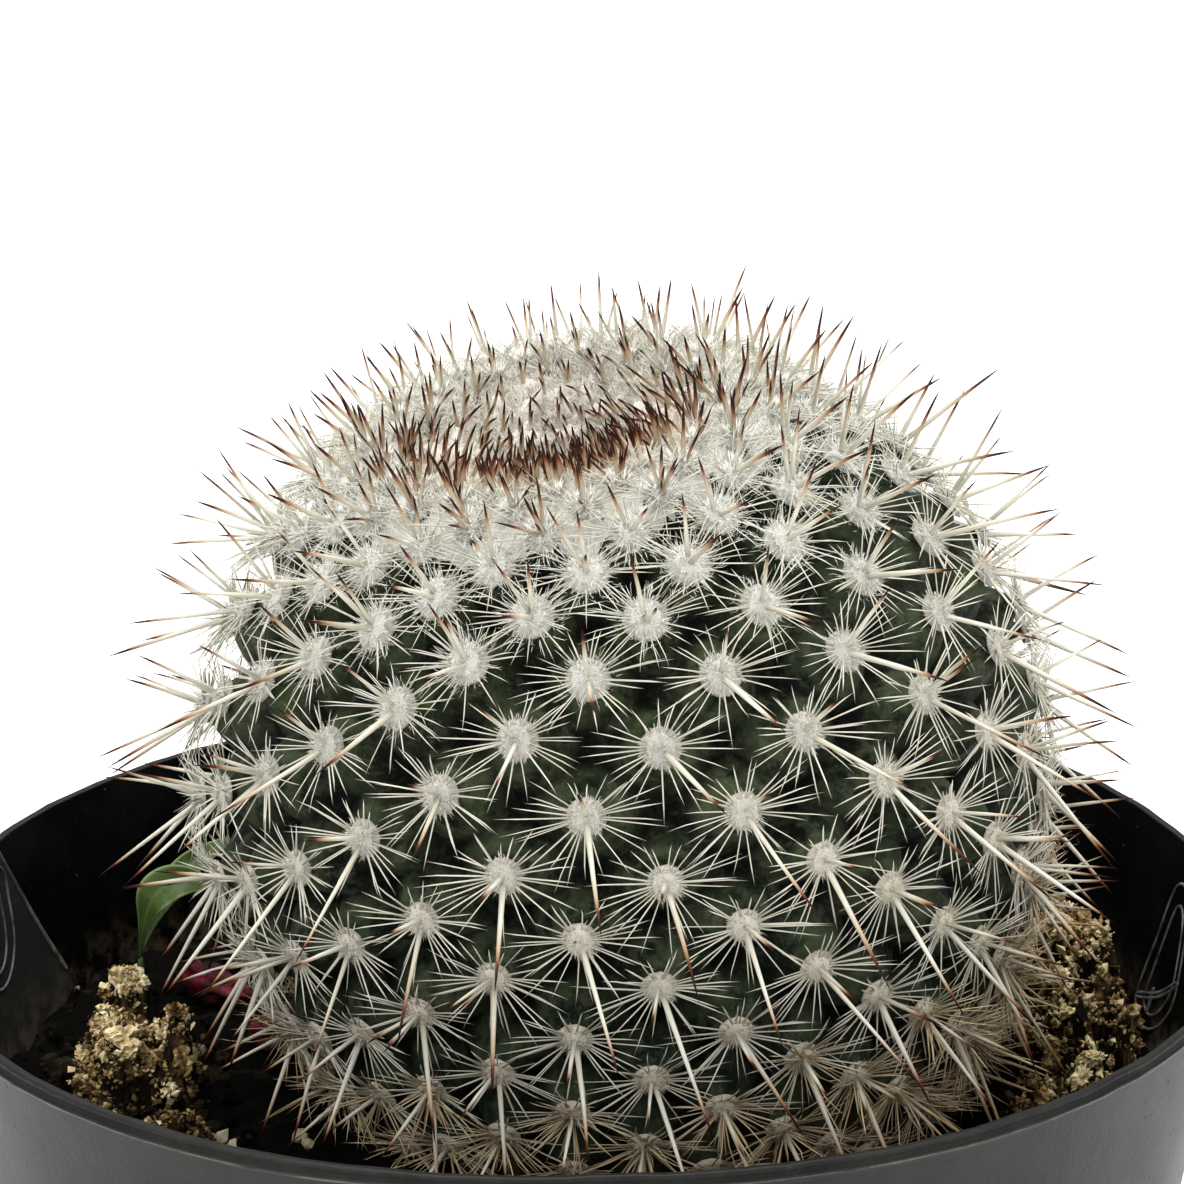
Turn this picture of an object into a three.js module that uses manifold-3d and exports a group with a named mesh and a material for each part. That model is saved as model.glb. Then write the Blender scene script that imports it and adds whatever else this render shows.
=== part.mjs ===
// A globular cactus with white spine stars, growing in a round black plastic nursery pot.
// Millimetres, +Z up. The origin is the centre of the pot's base, on the surface it stands on.
// The cactus is laid out on its own axis, which leans, with its widest ring at height 0.

import * as THREE from "three";
import { mergeVertices } from "three/addons/utils/BufferGeometryUtils.js";
import Module from "manifold-3d";

const wasm = await Module();
wasm.setup();

// The pot
const POT_HEIGHT = 80;
const RIM_RADIUS = 50;
const BASE_RADIUS = 34;
const WALL = 1;
const FLOOR = 1.5;
const LIP_WIDTH = 1.4;
const LIP_DEPTH = 1.3;
const LIP_OVERHANG = 0.4;
const LIP_ROUNDING = 0.3;
const BASE_ROUNDING = 1;
const POT_SIDES = 48;
const DRAIN_HOLES = 6;
const DRAIN_HOLE_RADIUS = 3.5;
const DRAIN_CIRCLE_RADIUS = 22;

// The soil, and the gap that every loose piece keeps to its neighbour
const SOIL_BELOW_RIM = 15;
const SOIL_LEVEL = POT_HEIGHT - SOIL_BELOW_RIM;
const SOIL_SLOPE = 0.015;
const SOIL_RINGS = [41, 35, 28, 20];
const SEAT_GAP = 0.35;

// Edges shorter than this, left where pieces cross, are closed up
const SHORTEST_EDGE = 0.02;

// The cactus body: the round shape that the tubercle tips lie on
const BODY_RADIUS = 31.1;
const BODY_RISE = 29.6;
const BODY_DROP = 43;
const BODY_ROUNDNESS = 1.8;
const BODY_CENTRE = new THREE.Vector3(2.3, -1.3, POT_HEIGHT + 13.6);
const BODY_LEAN_X = -0.177;
const BODY_LEAN_Y = -0.163;
const CROWN_RADIUS = 15;
const CROWN_DIP = 7;

// The tubercles: each follows the last by the golden angle, and 13 of them make one row
const GOLDEN_ANGLE = THREE.MathUtils.degToRad(137.545);
const FIRST_AZIMUTH = 0.437;
const SHORT_SPIRALS = 13;
const LONG_SPIRALS = 21;
const CROWN_TOP_ROW = -10;
const BODY_TOP_ROW = -3;
const BODY_FOOT_ROW = 22;
const POINTED_ABOVE_ROW = -6;
const POINTED_BELOW_ROW = 13;
const CROWN_SHRINK = 0.09;
const FOOT_ROW = 11;
const FOOT_ROW_STEP = 0.064;
const TUBERCLE_DEPTH = 3;
const SADDLE_SHARE = 0.75;
const WOOL_TUFT_DEPTH = 2;
const AREOLE_HALF_WIDTH = 0.17;
const DISH_DEPTH = 3;
const FOOT_DEPTH = 3;

// The spines
const CENTRAL_LENGTH = 10.5;
const CROWN_SPINE_SHARE = 0.52;
const CENTRAL_RADIUS = 0.32;
const RADIAL_LENGTH = 4.8;
const RADIAL_RADIUS = 0.24;
const RADIALS = 3;
const FEWER_RADIALS = 2;
const FEWER_RADIALS_ROW = 9;
const UPPER_SPINE_ROW = 1;
const RADIAL_LIFT = THREE.MathUtils.degToRad(14);
const AREOLE_EDGE = 0.75;
const ROOT_DEPTH = 0.9;
const SPINE_CLEARANCE = 0.62;
const SPINE_SIDES = 3;

// The crumbs of earth on the soil: centre, half sizes and height of each heap, and its lumps
const HEAPS = {
  left: { x: -34.2, y: -1.5, halfX: 3, halfY: 8.2, height: 5.2, crumbs: 7 },
  right: { x: 37.4, y: 5.5, halfX: 2.8, halfY: 9.2, height: 5.2, crumbs: 7 },
};
const LUMP_RADIUS = 3.7;
const LUMP_SHRINK = 0.7;
const LUMP_FLATNESS = 0.8;
const LUMP_LIFT = 0.6;

// The two fallen fruits: the ends of each, as x, y and height above the soil, and its radius
const FRUITS = {
  long: { from: [-32.6, 19.2, 1.9], to: [-26.5, 14.2, 1.7], radius: 1.5 },
  short: { from: [-26, 8.2, 1.7], to: [-21.8, 4.3, 1.5], radius: 1.3 },
};

const UP = new THREE.Vector3(0, 0, 1);
const CONE_AXIS = new THREE.Vector3(0, 1, 0);

// Seeded random numbers from 0 to 1
function randomFrom(seed) {
  let state = seed;
  return () => {
    state = (state * 1664525 + 1013904223) % 4294967296;
    return state / 4294967296;
  };
}

// Solids: a closed geometry with merged vertices and outward faces, and the way back

function signedVolume(positions, triangles) {
  const corner = [new THREE.Vector3(), new THREE.Vector3(), new THREE.Vector3()];
  let volume = 0;
  for (let i = 0; i < triangles.length; i += 3) {
    corner.forEach((point, k) => point.fromArray(positions, triangles[i + k] * 3));
    volume += corner[0].dot(corner[1].cross(corner[2])) / 6;
  }
  return volume;
}

function toSolid(geometry) {
  const bare = new THREE.BufferGeometry();
  bare.setAttribute("position", geometry.getAttribute("position"));
  bare.setIndex(geometry.getIndex());
  const merged = mergeVertices(bare, 1e-4);
  const positions = Float32Array.from(merged.getAttribute("position").array);
  const triangles = [];
  const index = merged.getIndex().array;
  for (let i = 0; i < index.length; i += 3) {
    const [a, b, c] = [index[i], index[i + 1], index[i + 2]];
    if (a !== b && b !== c && c !== a) {
      triangles.push(a, b, c);
    }
  }
  if (signedVolume(positions, triangles) < 0) {
    triangles.reverse();
  }
  const triVerts = Uint32Array.from(triangles);
  const mesh = new wasm.Mesh({ numProp: 3, vertProperties: positions, triVerts });
  return new wasm.Manifold(mesh);
}

function toGeometry(solid) {
  const { vertProperties, triVerts } = solid.simplify(SHORTEST_EDGE).getMesh();
  const geometry = new THREE.BufferGeometry();
  geometry.setAttribute("position", new THREE.BufferAttribute(vertProperties, 3));
  geometry.setIndex(new THREE.BufferAttribute(triVerts, 1));
  return geometry;
}

function joinAll(solids) {
  let round = solids;
  while (round.length > 1) {
    const next = [];
    for (let i = 0; i < round.length; i += 2) {
      next.push(i + 1 < round.length ? round[i].add(round[i + 1]) : round[i]);
    }
    round = next;
  }
  return round[0];
}

function lathe(profile, sides) {
  const points = profile.map(([radius, height]) => new THREE.Vector2(radius, height));
  const geometry = new THREE.LatheGeometry(points, sides);
  geometry.rotateX(Math.PI / 2);
  return geometry;
}

// The pot

function wallRadius(height) {
  const top = RIM_RADIUS - LIP_OVERHANG;
  return BASE_RADIUS + ((top - BASE_RADIUS) * height) / POT_HEIGHT;
}

function innerRadius(height) {
  return wallRadius(height) - WALL;
}

function potSolid() {
  const lipFoot = POT_HEIGHT - LIP_DEPTH;
  const body = toSolid(
    lathe(
      [
        [0, 0],
        [BASE_RADIUS - BASE_ROUNDING, 0],
        [wallRadius(BASE_ROUNDING), BASE_ROUNDING],
        [wallRadius(lipFoot), lipFoot],
        [RIM_RADIUS - LIP_ROUNDING, lipFoot],
        [RIM_RADIUS, lipFoot + LIP_ROUNDING],
        [RIM_RADIUS, POT_HEIGHT - LIP_ROUNDING],
        [RIM_RADIUS - LIP_ROUNDING, POT_HEIGHT],
        [RIM_RADIUS - LIP_WIDTH + LIP_ROUNDING / 2, POT_HEIGHT],
        [innerRadius(POT_HEIGHT - LIP_ROUNDING), POT_HEIGHT - LIP_ROUNDING],
        [innerRadius(FLOOR), FLOOR],
        [0, FLOOR],
      ],
      POT_SIDES,
    ),
  );
  const drains = [];
  for (let i = 0; i < DRAIN_HOLES; i += 1) {
    const angle = (i * 2 * Math.PI) / DRAIN_HOLES;
    const hole = new THREE.CylinderGeometry(DRAIN_HOLE_RADIUS, DRAIN_HOLE_RADIUS, FLOOR * 3, 12);
    hole.rotateX(Math.PI / 2);
    hole.translate(DRAIN_CIRCLE_RADIUS * Math.cos(angle), DRAIN_CIRCLE_RADIUS * Math.sin(angle), FLOOR / 2);
    drains.push(toSolid(hole));
  }
  return body.subtract(joinAll(drains));
}

// The soil

function soilHeight(x, y) {
  const swell = 0.5 * Math.sin(0.21 * x + 1.3) * Math.cos(0.17 * y);
  const ripple = 0.4 * Math.sin(0.13 * x - 0.29 * y + 0.5);
  return SOIL_LEVEL + swell + ripple - SOIL_SLOPE * x;
}

function soilBlock(lift) {
  const bottom = FLOOR + SEAT_GAP;
  const geometry = lathe(
    [
      [0, bottom],
      [innerRadius(bottom) - SEAT_GAP, bottom],
      [innerRadius(SOIL_LEVEL) - SEAT_GAP, SOIL_LEVEL],
      ...SOIL_RINGS.map((radius) => [radius, SOIL_LEVEL]),
      [0, SOIL_LEVEL],
    ],
    POT_SIDES,
  );
  const position = geometry.getAttribute("position");
  for (let i = 0; i < position.count; i += 1) {
    if (position.getZ(i) > SOIL_LEVEL - 1) {
      position.setZ(i, soilHeight(position.getX(i), position.getY(i)) + lift);
    }
  }
  return toSolid(geometry);
}

// The cactus body

const leanAxis = new THREE.Vector3(Math.sin(BODY_LEAN_X), Math.sin(BODY_LEAN_Y), 0);
leanAxis.z = Math.sqrt(1 - leanAxis.lengthSq());
const leanTurn = new THREE.Quaternion().setFromUnitVectors(UP, leanAxis);
const bodyPlace = new THREE.Matrix4().compose(BODY_CENTRE, leanTurn, new THREE.Vector3(1, 1, 1));

// The latitude of a row on the round shape, in radians, worked out to keep the tubercles' spacing
function latitude(row) {
  if (row < 0) {
    return Math.acos(Math.cos(latitude(0)) * Math.exp(CROWN_SHRINK * row));
  }
  if (row > FOOT_ROW) {
    return latitude(FOOT_ROW) - FOOT_ROW_STEP * (row - FOOT_ROW);
  }
  const t = (row - 4) / 6;
  return 0.445 - 0.685 * t - 0.052 * t ** 2 + 0.103 * t ** 3;
}

// Radius and height of the round shape at a latitude, with the crown's dip
function outline(angle) {
  const power = 2 / BODY_ROUNDNESS;
  const reach = angle > 0 ? BODY_RISE : BODY_DROP;
  const radius = BODY_RADIUS * Math.cos(angle) ** power;
  const height = reach * Math.sign(angle) * Math.abs(Math.sin(angle)) ** power;
  const inCrown = angle > 0 && radius < CROWN_RADIUS ? 1 - (radius / CROWN_RADIUS) ** 2 : 0;
  return { radius, height: height - CROWN_DIP * inCrown ** 2 };
}

// The place and the directions at a tubercle, or at a point a share of the way to its neighbours
function surfaceFrame(number, short = 0, long = 0) {
  const shortStep = SHORT_SPIRALS * GOLDEN_ANGLE - 10 * Math.PI;
  const longStep = LONG_SPIRALS * GOLDEN_ANGLE - 16 * Math.PI;
  const azimuth = FIRST_AZIMUTH + number * GOLDEN_ANGLE + short * shortStep + long * longStep;
  const row = (number + short * SHORT_SPIRALS + long * LONG_SPIRALS) / SHORT_SPIRALS;
  const angle = latitude(row);
  const here = outline(angle);
  const above = outline(angle + 0.01);
  const below = outline(angle - 0.01);
  const run = below.radius - above.radius;
  const fall = below.height - above.height;
  const slope = Math.hypot(run, fall);
  const around = new THREE.Vector3(Math.sin(azimuth), -Math.cos(azimuth), 0);
  const down = around.clone().multiplyScalar(run / slope);
  down.z = fall / slope;
  const out = around.clone().multiplyScalar(-fall / slope);
  out.z = run / slope;
  const side = new THREE.Vector3(Math.cos(azimuth), Math.sin(azimuth), 0);
  const point = around.clone().multiplyScalar(here.radius);
  point.z = here.height;
  return { point, out, down, side, row, radius: here.radius };
}

function sunk(frame, depth) {
  return frame.point.clone().addScaledVector(frame.out, (-depth * frame.radius) / BODY_RADIUS);
}

// One skin of tubercles from number first to before last. Each has a flat square tip, or a point
// where it is smallest, and meets its neighbours at four saddles and four valleys. Both open ends
// close on a point of the axis.
function tubercleSkin(first, last, depth, topPoint, footPoint) {
  const positions = [];
  const rows = [];
  const triangles = [];
  const known = new Map();

  function vertex(number, short, long, sink) {
    let owner = number;
    let s = short;
    let l = long;
    if (s === 0.5) {
      owner += SHORT_SPIRALS;
      s = -0.5;
    }
    if (l === 0.5) {
      owner += LONG_SPIRALS;
      l = -0.5;
    }
    const key = `${owner} ${s} ${l}`;
    if (!known.has(key)) {
      const frame = surfaceFrame(owner, s, l);
      known.set(key, rows.length);
      positions.push(...sunk(frame, sink).toArray());
      rows.push(frame.row);
    }
    return known.get(key);
  }

  const turns = [
    [1, 1],
    [-1, 1],
    [-1, -1],
    [1, -1],
  ];
  for (let number = first; number < last; number += 1) {
    const row = number / SHORT_SPIRALS;
    const hasFlatTip = row > POINTED_ABOVE_ROW && row < POINTED_BELOW_ROW;
    const half = hasFlatTip ? AREOLE_HALF_WIDTH : 0;
    const tips = turns.map(([s, l]) => vertex(number, s * half, l * half, 0));
    const valleys = turns.map(([s, l]) => vertex(number, s / 2, l / 2, depth));
    for (let k = 0; k < 4; k += 1) {
      const next = (k + 1) % 4;
      const middle = [0, 1].map((axis) => (turns[k][axis] + turns[next][axis]) / 4);
      const saddle = vertex(number, middle[0], middle[1], depth * SADDLE_SHARE);
      triangles.push(valleys[k], saddle, tips[k]);
      triangles.push(saddle, valleys[next], tips[next]);
      if (hasFlatTip) {
        triangles.push(saddle, tips[next], tips[k]);
      }
    }
    if (hasFlatTip) {
      triangles.push(tips[0], tips[1], tips[2], tips[0], tips[2], tips[3]);
    }
  }

  const edges = new Set();
  for (let i = 0; i < triangles.length; i += 3) {
    for (let k = 0; k < 3; k += 1) {
      edges.add(`${triangles[i + k]} ${triangles[i + ((k + 1) % 3)]}`);
    }
  }
  const topIndex = rows.length;
  const footIndex = topIndex + 1;
  positions.push(...topPoint.toArray(), ...footPoint.toArray());
  const middleRow = (first + last) / 2 / SHORT_SPIRALS;
  for (const edge of [...edges]) {
    const [a, b] = edge.split(" ").map(Number);
    if (!edges.has(`${b} ${a}`)) {
      triangles.push(b, a, rows[a] < middleRow ? topIndex : footIndex);
    }
  }
  const geometry = new THREE.BufferGeometry();
  geometry.setAttribute("position", new THREE.Float32BufferAttribute(positions, 3));
  geometry.setIndex(triangles);
  geometry.applyMatrix4(bodyPlace);
  return toSolid(geometry);
}

// The spines: slim three-sided needles, each kept apart from those already placed

function segmentGap(a, b) {
  const ray = new THREE.Ray(a.start, a.direction);
  let nearest = Infinity;
  const steps = 6;
  for (let i = 0; i <= steps; i += 1) {
    const point = b.start.clone().addScaledVector(b.direction, (b.length * i) / steps);
    const along = THREE.MathUtils.clamp(point.clone().sub(a.start).dot(a.direction), 0, a.length);
    nearest = Math.min(nearest, ray.at(along, new THREE.Vector3()).distanceTo(point));
  }
  return nearest;
}

class SpineSet {
  constructor(surroundings) {
    this.surroundings = surroundings;
    this.placed = [];
  }

  // Adds a needle if it stays clear of the others and of what is not its own body
  tryNeedle(node, start, direction, length, radius, avoid) {
    const needle = { node, start, direction, length };
    const reach = CENTRAL_LENGTH * 2;
    for (const other of this.placed) {
      if (other.start.distanceTo(start) < reach && segmentGap(other, needle) < SPINE_CLEARANCE) {
        return;
      }
    }
    const cone = new THREE.ConeGeometry(radius, length, SPINE_SIDES);
    cone.translate(0, length / 2, 0);
    cone.applyQuaternion(new THREE.Quaternion().setFromUnitVectors(CONE_AXIS, direction));
    cone.translate(start.x, start.y, start.z);
    needle.solid = toSolid(cone);
    for (const solid of [this.surroundings, ...avoid]) {
      if (needle.solid.minGap(solid, SEAT_GAP) < SEAT_GAP) {
        return;
      }
    }
    this.placed.push(needle);
  }

  solidsOf(node) {
    return this.placed.filter((needle) => needle.node === node).map((needle) => needle.solid);
  }
}

// A direction at an areole, tilted from straight out towards the foot and turned round the areole
function spineDirection(frame, tilt, turn) {
  const flat = frame.down.clone().multiplyScalar(Math.cos(turn)).addScaledVector(frame.side, Math.sin(turn));
  return frame.out.clone().multiplyScalar(Math.cos(tilt)).addScaledVector(flat, Math.sin(tilt)).normalize();
}

function placeSpine(spines, node, frame, options) {
  const { tilt, turn, length, radius, offset, avoid } = options;
  const flat = spineDirection(frame, Math.PI / 2, turn);
  const start = frame.point.clone().addScaledVector(flat, offset).addScaledVector(frame.out, -ROOT_DEPTH);
  const direction = spineDirection(frame, tilt, turn);
  start.applyMatrix4(bodyPlace);
  direction.applyQuaternion(leanTurn);
  spines.tryNeedle(node, start, direction, length + ROOT_DEPTH, radius, avoid);
}

function growSpines(surroundings, bodySkin, crownSkin) {
  const spines = new SpineSet(surroundings);
  const random = randomFrom(11);
  const vary = (middle, spread) => middle + spread * (2 * random() - 1);
  for (let number = BODY_FOOT_ROW * SHORT_SPIRALS - 1; number >= CROWN_TOP_ROW * SHORT_SPIRALS; number -= 1) {
    const frame = surfaceFrame(number);
    const inCrown = frame.row < BODY_TOP_ROW;
    const node = inCrown ? "crown" : "body";
    const avoid = [inCrown ? bodySkin : crownSkin];
    const age = THREE.MathUtils.smoothstep(frame.row, -1, 6);
    const lowerTilt = THREE.MathUtils.degToRad(vary(14 + 30 * age, 5));
    const length = CENTRAL_LENGTH * vary(inCrown ? CROWN_SPINE_SHARE : 0.95, 0.07);
    const central = { length, radius: CENTRAL_RADIUS, offset: 0.2, avoid };
    placeSpine(spines, node, frame, { ...central, tilt: lowerTilt, turn: vary(0, 0.25) });
    if (frame.row < UPPER_SPINE_ROW && number % 2 === 0) {
      const tilt = THREE.MathUtils.degToRad(vary(24, 5));
      const turn = Math.PI + vary(0, 0.3);
      placeSpine(spines, node, frame, { ...central, tilt, turn, offset: 0.6 });
    }
    if (!inCrown) {
      const phase = random() * 2 * Math.PI;
      const isMiddle = frame.row > 0 && frame.row < FEWER_RADIALS_ROW;
      const radials = isMiddle ? RADIALS : FEWER_RADIALS;
      const tilt = Math.PI / 2 - RADIAL_LIFT;
      const radialLength = RADIAL_LENGTH - AREOLE_EDGE;
      for (let k = 0; k < radials; k += 1) {
        const turn = phase + (k * 2 * Math.PI) / radials;
        const radial = { length: radialLength, radius: RADIAL_RADIUS, offset: AREOLE_EDGE, avoid };
        placeSpine(spines, node, frame, { ...radial, tilt, turn });
      }
    }
  }
  return spines;
}

// The crumbs of earth, each heap one lump that lies on the soil

function heapSolid({ x, y, halfX, halfY, height, crumbs }, random, raisedSoil) {
  const lumps = [];
  for (let i = 0; i < crumbs; i += 1) {
    const share = Math.sqrt((i + 0.5) / crumbs);
    const angle = i * GOLDEN_ANGLE;
    const radius = LUMP_RADIUS - LUMP_SHRINK * share + 0.5 * random();
    const lump = new THREE.IcosahedronGeometry(radius, 0);
    lump.rotateX(random() * Math.PI);
    lump.rotateZ(random() * Math.PI);
    lump.scale(1, 1, LUMP_FLATNESS);
    const px = x + halfX * share * Math.cos(angle);
    const py = y + halfY * share * Math.sin(angle);
    const rise = height * (1 - share ** 2) * (0.35 + 0.4 * random());
    lump.translate(px, py, soilHeight(px, py) + LUMP_LIFT + rise);
    lumps.push(toSolid(lump));
  }
  return joinAll(lumps).subtract(raisedSoil);
}

// A fallen fruit: club-shaped, with a blunt head, lying on the soil

function fruitSolid({ from, to, radius }, raisedSoil) {
  const [head, tail] = [from, to].map(([x, y, above]) => new THREE.Vector3(x, y, SOIL_LEVEL + above));
  const length = head.distanceTo(tail);
  const shape = lathe(
    [
      [0, 0],
      [radius * 0.45, length * 0.02],
      [radius * 0.6, length * 0.2],
      [radius * 0.9, length * 0.55],
      [radius, length * 0.75],
      [radius * 0.75, length * 0.93],
      [0, length],
    ],
    8,
  );
  const direction = head.clone().sub(tail).normalize();
  shape.applyQuaternion(new THREE.Quaternion().setFromUnitVectors(UP, direction));
  shape.translate(tail.x, tail.y, tail.z);
  return toSolid(shape).subtract(raisedSoil);
}

// The seedling: a thin stem in a plain hole of the soil, and two arched leaves

// A closed blade or stem along a curve. halfWidth and halfThickness give its section at a share
// of the length, and it ends in a point at both ends.
function blade(points, halfWidth, halfThickness, acrossHint, rows, sides) {
  const curve = new THREE.CatmullRomCurve3(points);
  const positions = [...curve.getPoint(0).toArray()];
  for (let i = 1; i < rows; i += 1) {
    const share = i / rows;
    const centre = curve.getPoint(share);
    const along = curve.getTangent(share);
    const across = acrossHint.clone().addScaledVector(along, -acrossHint.dot(along)).normalize();
    const thick = along.clone().cross(across);
    for (let k = 0; k < sides; k += 1) {
      const angle = (k * 2 * Math.PI) / sides;
      const point = centre.clone();
      point.addScaledVector(across, halfWidth(share) * Math.cos(angle));
      point.addScaledVector(thick, halfThickness(share) * Math.sin(angle));
      positions.push(...point.toArray());
    }
  }
  positions.push(...curve.getPoint(1).toArray());
  const lastIndex = positions.length / 3 - 1;
  const triangles = [];
  for (let k = 0; k < sides; k += 1) {
    const next = (k + 1) % sides;
    triangles.push(0, 1 + next, 1 + k);
    for (let i = 0; i < rows - 2; i += 1) {
      const [a, b] = [1 + i * sides + k, 1 + i * sides + next];
      triangles.push(a, b, b + sides, a, b + sides, a + sides);
    }
    triangles.push(lastIndex, lastIndex - sides + k, lastIndex - sides + next);
  }
  const geometry = new THREE.BufferGeometry();
  geometry.setAttribute("position", new THREE.Float32BufferAttribute(positions, 3));
  geometry.setIndex(triangles);
  return toSolid(geometry);
}

const SEEDLING_FOOT = new THREE.Vector3(-35.8, 16.2, SOIL_LEVEL);
const SEEDLING_ROOT_DEPTH = 4;
const STEM_RADIUS = 0.5;
const ARCHED_LEAF_WIDTH = 1;
const UPRIGHT_LEAF_WIDTH = 0.9;
const LEAF_THICKNESS = 0.35;

function fromRim(x, y, height) {
  return new THREE.Vector3(x, y, POT_HEIGHT + height);
}

function seedlingSolid() {
  const foot = SEEDLING_FOOT;
  const root = foot.clone().addScaledVector(UP, -SEEDLING_ROOT_DEPTH);
  const fork = fromRim(-35.6, 15.7, -10.5);
  const stemRadius = () => STEM_RADIUS;
  const stemPoints = [root, foot, fork, fromRim(-35.3, 15.3, -8.6)];
  const stem = blade(stemPoints, stemRadius, stemRadius, new THREE.Vector3(1, 0, 0), 5, 5);
  const leafWidth = (most) => (share) => most * Math.sin(Math.PI * share) ** 0.7;
  const thin = (share) => LEAF_THICKNESS * (0.6 + 0.4 * Math.sin(Math.PI * share));
  const arched = [
    fork,
    fromRim(-35.2, 15.2, -7.6),
    fromRim(-34.5, 15, -4.9),
    fromRim(-33.2, 14.8, -3.5),
    fromRim(-31.3, 14.6, -3.1),
    fromRim(-29.6, 14.5, -3.6),
  ];
  const upright = [
    fork,
    fromRim(-34.5, 17.2, -7),
    fromRim(-32, 18.3, -3.5),
    fromRim(-28.4, 18.6, -1.3),
  ];
  const archedAcross = new THREE.Vector3(0.5, -0.8, 0.2);
  const uprightAcross = new THREE.Vector3(0.4, -0.7, 0.5);
  const leaves = [
    blade(arched, leafWidth(ARCHED_LEAF_WIDTH), thin, archedAcross, 8, 4),
    blade(upright, leafWidth(UPRIGHT_LEAF_WIDTH), thin, uprightAcross, 7, 4),
  ];
  return joinAll([stem, ...leaves]);
}

function seedlingHole() {
  const radius = STEM_RADIUS + SEAT_GAP;
  const hole = new THREE.CylinderGeometry(radius, radius, SEEDLING_ROOT_DEPTH * 2 + 1, 10);
  hole.rotateX(Math.PI / 2);
  hole.translate(SEEDLING_FOOT.x, SEEDLING_FOOT.y, SEEDLING_FOOT.z);
  return toSolid(hole);
}

// The plain hole in the soil that the cactus stands in: its own outline, one gap wider

function cactusHole() {
  const highest = latitude(FOOT_ROW - 3);
  const lowest = latitude(BODY_FOOT_ROW + LONG_SPIRALS / SHORT_SPIRALS);
  const steps = 8;
  const profile = [[0, outline(latitude(BODY_FOOT_ROW)).height - FOOT_DEPTH - SEAT_GAP * 2]];
  for (let i = 0; i <= steps; i += 1) {
    const { radius, height } = outline(lowest + ((highest - lowest) * i) / steps);
    profile.push([radius + SEAT_GAP * 1.6, height - SEAT_GAP]);
  }
  const top = profile[profile.length - 1];
  profile.push([0, top[1]]);
  const geometry = lathe(profile, POT_SIDES);
  geometry.applyMatrix4(bodyPlace);
  return toSolid(geometry);
}

// The whole object

function build() {
  const pot = potSolid();
  const soil = soilBlock(0).subtract(cactusHole()).subtract(seedlingHole());
  const raisedSoil = soilBlock(SEAT_GAP);
  const random = randomFrom(5);
  const heaps = Object.values(HEAPS).map((heap) => heapSolid(heap, random, raisedSoil));
  const fruits = Object.values(FRUITS).map((fruit) => fruitSolid(fruit, raisedSoil));
  const seedling = seedlingSolid();

  const seamHeight = outline(latitude(BODY_TOP_ROW)).height;
  const dish = new THREE.Vector3(0, 0, seamHeight - DISH_DEPTH);
  const footHeight = outline(latitude(BODY_FOOT_ROW)).height;
  const foot = new THREE.Vector3(0, 0, footHeight - FOOT_DEPTH);
  const crownCentre = new THREE.Vector3(0, 0, outline(latitude(CROWN_TOP_ROW)).height - 1);
  const seam = BODY_TOP_ROW * SHORT_SPIRALS;
  const bodySkin = tubercleSkin(seam, BODY_FOOT_ROW * SHORT_SPIRALS, TUBERCLE_DEPTH, dish, foot);
  const crownFirst = CROWN_TOP_ROW * SHORT_SPIRALS;
  const seatedCrown = tubercleSkin(crownFirst, seam, WOOL_TUFT_DEPTH, crownCentre, dish);
  const crownSkin = seatedCrown.translate(0, 0, SEAT_GAP);

  const surroundings = wasm.Manifold.compose([pot, soil, ...heaps, ...fruits, seedling]);
  const spines = growSpines(surroundings, bodySkin, crownSkin);
  return {
    pot,
    soil,
    earth_crumbs_left: heaps[0],
    earth_crumbs_right: heaps[1],
    fallen_fruit_long: fruits[0],
    fallen_fruit_short: fruits[1],
    seedling,
    cactus: joinAll([bodySkin, ...spines.solidsOf("body")]),
    cactus_crown_wool: joinAll([crownSkin, ...spines.solidsOf("crown")]),
  };
}

const FINISHES = {
  pot: { color: 0x26282a, roughness: 0.45 },
  soil: { color: 0x15110d, roughness: 1 },
  earth_crumbs_left: { color: 0xa08a5c, roughness: 1 },
  earth_crumbs_right: { color: 0x94805a, roughness: 1 },
  fallen_fruit_long: { color: 0x7d1030, roughness: 0.4 },
  fallen_fruit_short: { color: 0x6d0f24, roughness: 0.4 },
  seedling: { color: 0x55803a, roughness: 0.5 },
  cactus: { color: 0x33492f, roughness: 0.6 },
  cactus_crown_wool: { color: 0xe9e3d3, roughness: 1 },
};

const group = new THREE.Group();
for (const [name, solid] of Object.entries(build())) {
  const material = new THREE.MeshStandardMaterial({ ...FINISHES[name], metalness: 0 });
  const mesh = new THREE.Mesh(toGeometry(solid), material);
  mesh.name = name;
  group.add(mesh);
}

export default group;
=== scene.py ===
"""A round cactus with white spine stars, growing in a black plastic nursery pot.

Lengths are worked out in millimetres in the row frame and turned into metres when a mesh is made.
"""

import bmesh
import bpy
import numpy as np
from mathutils import Matrix, Vector


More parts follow.
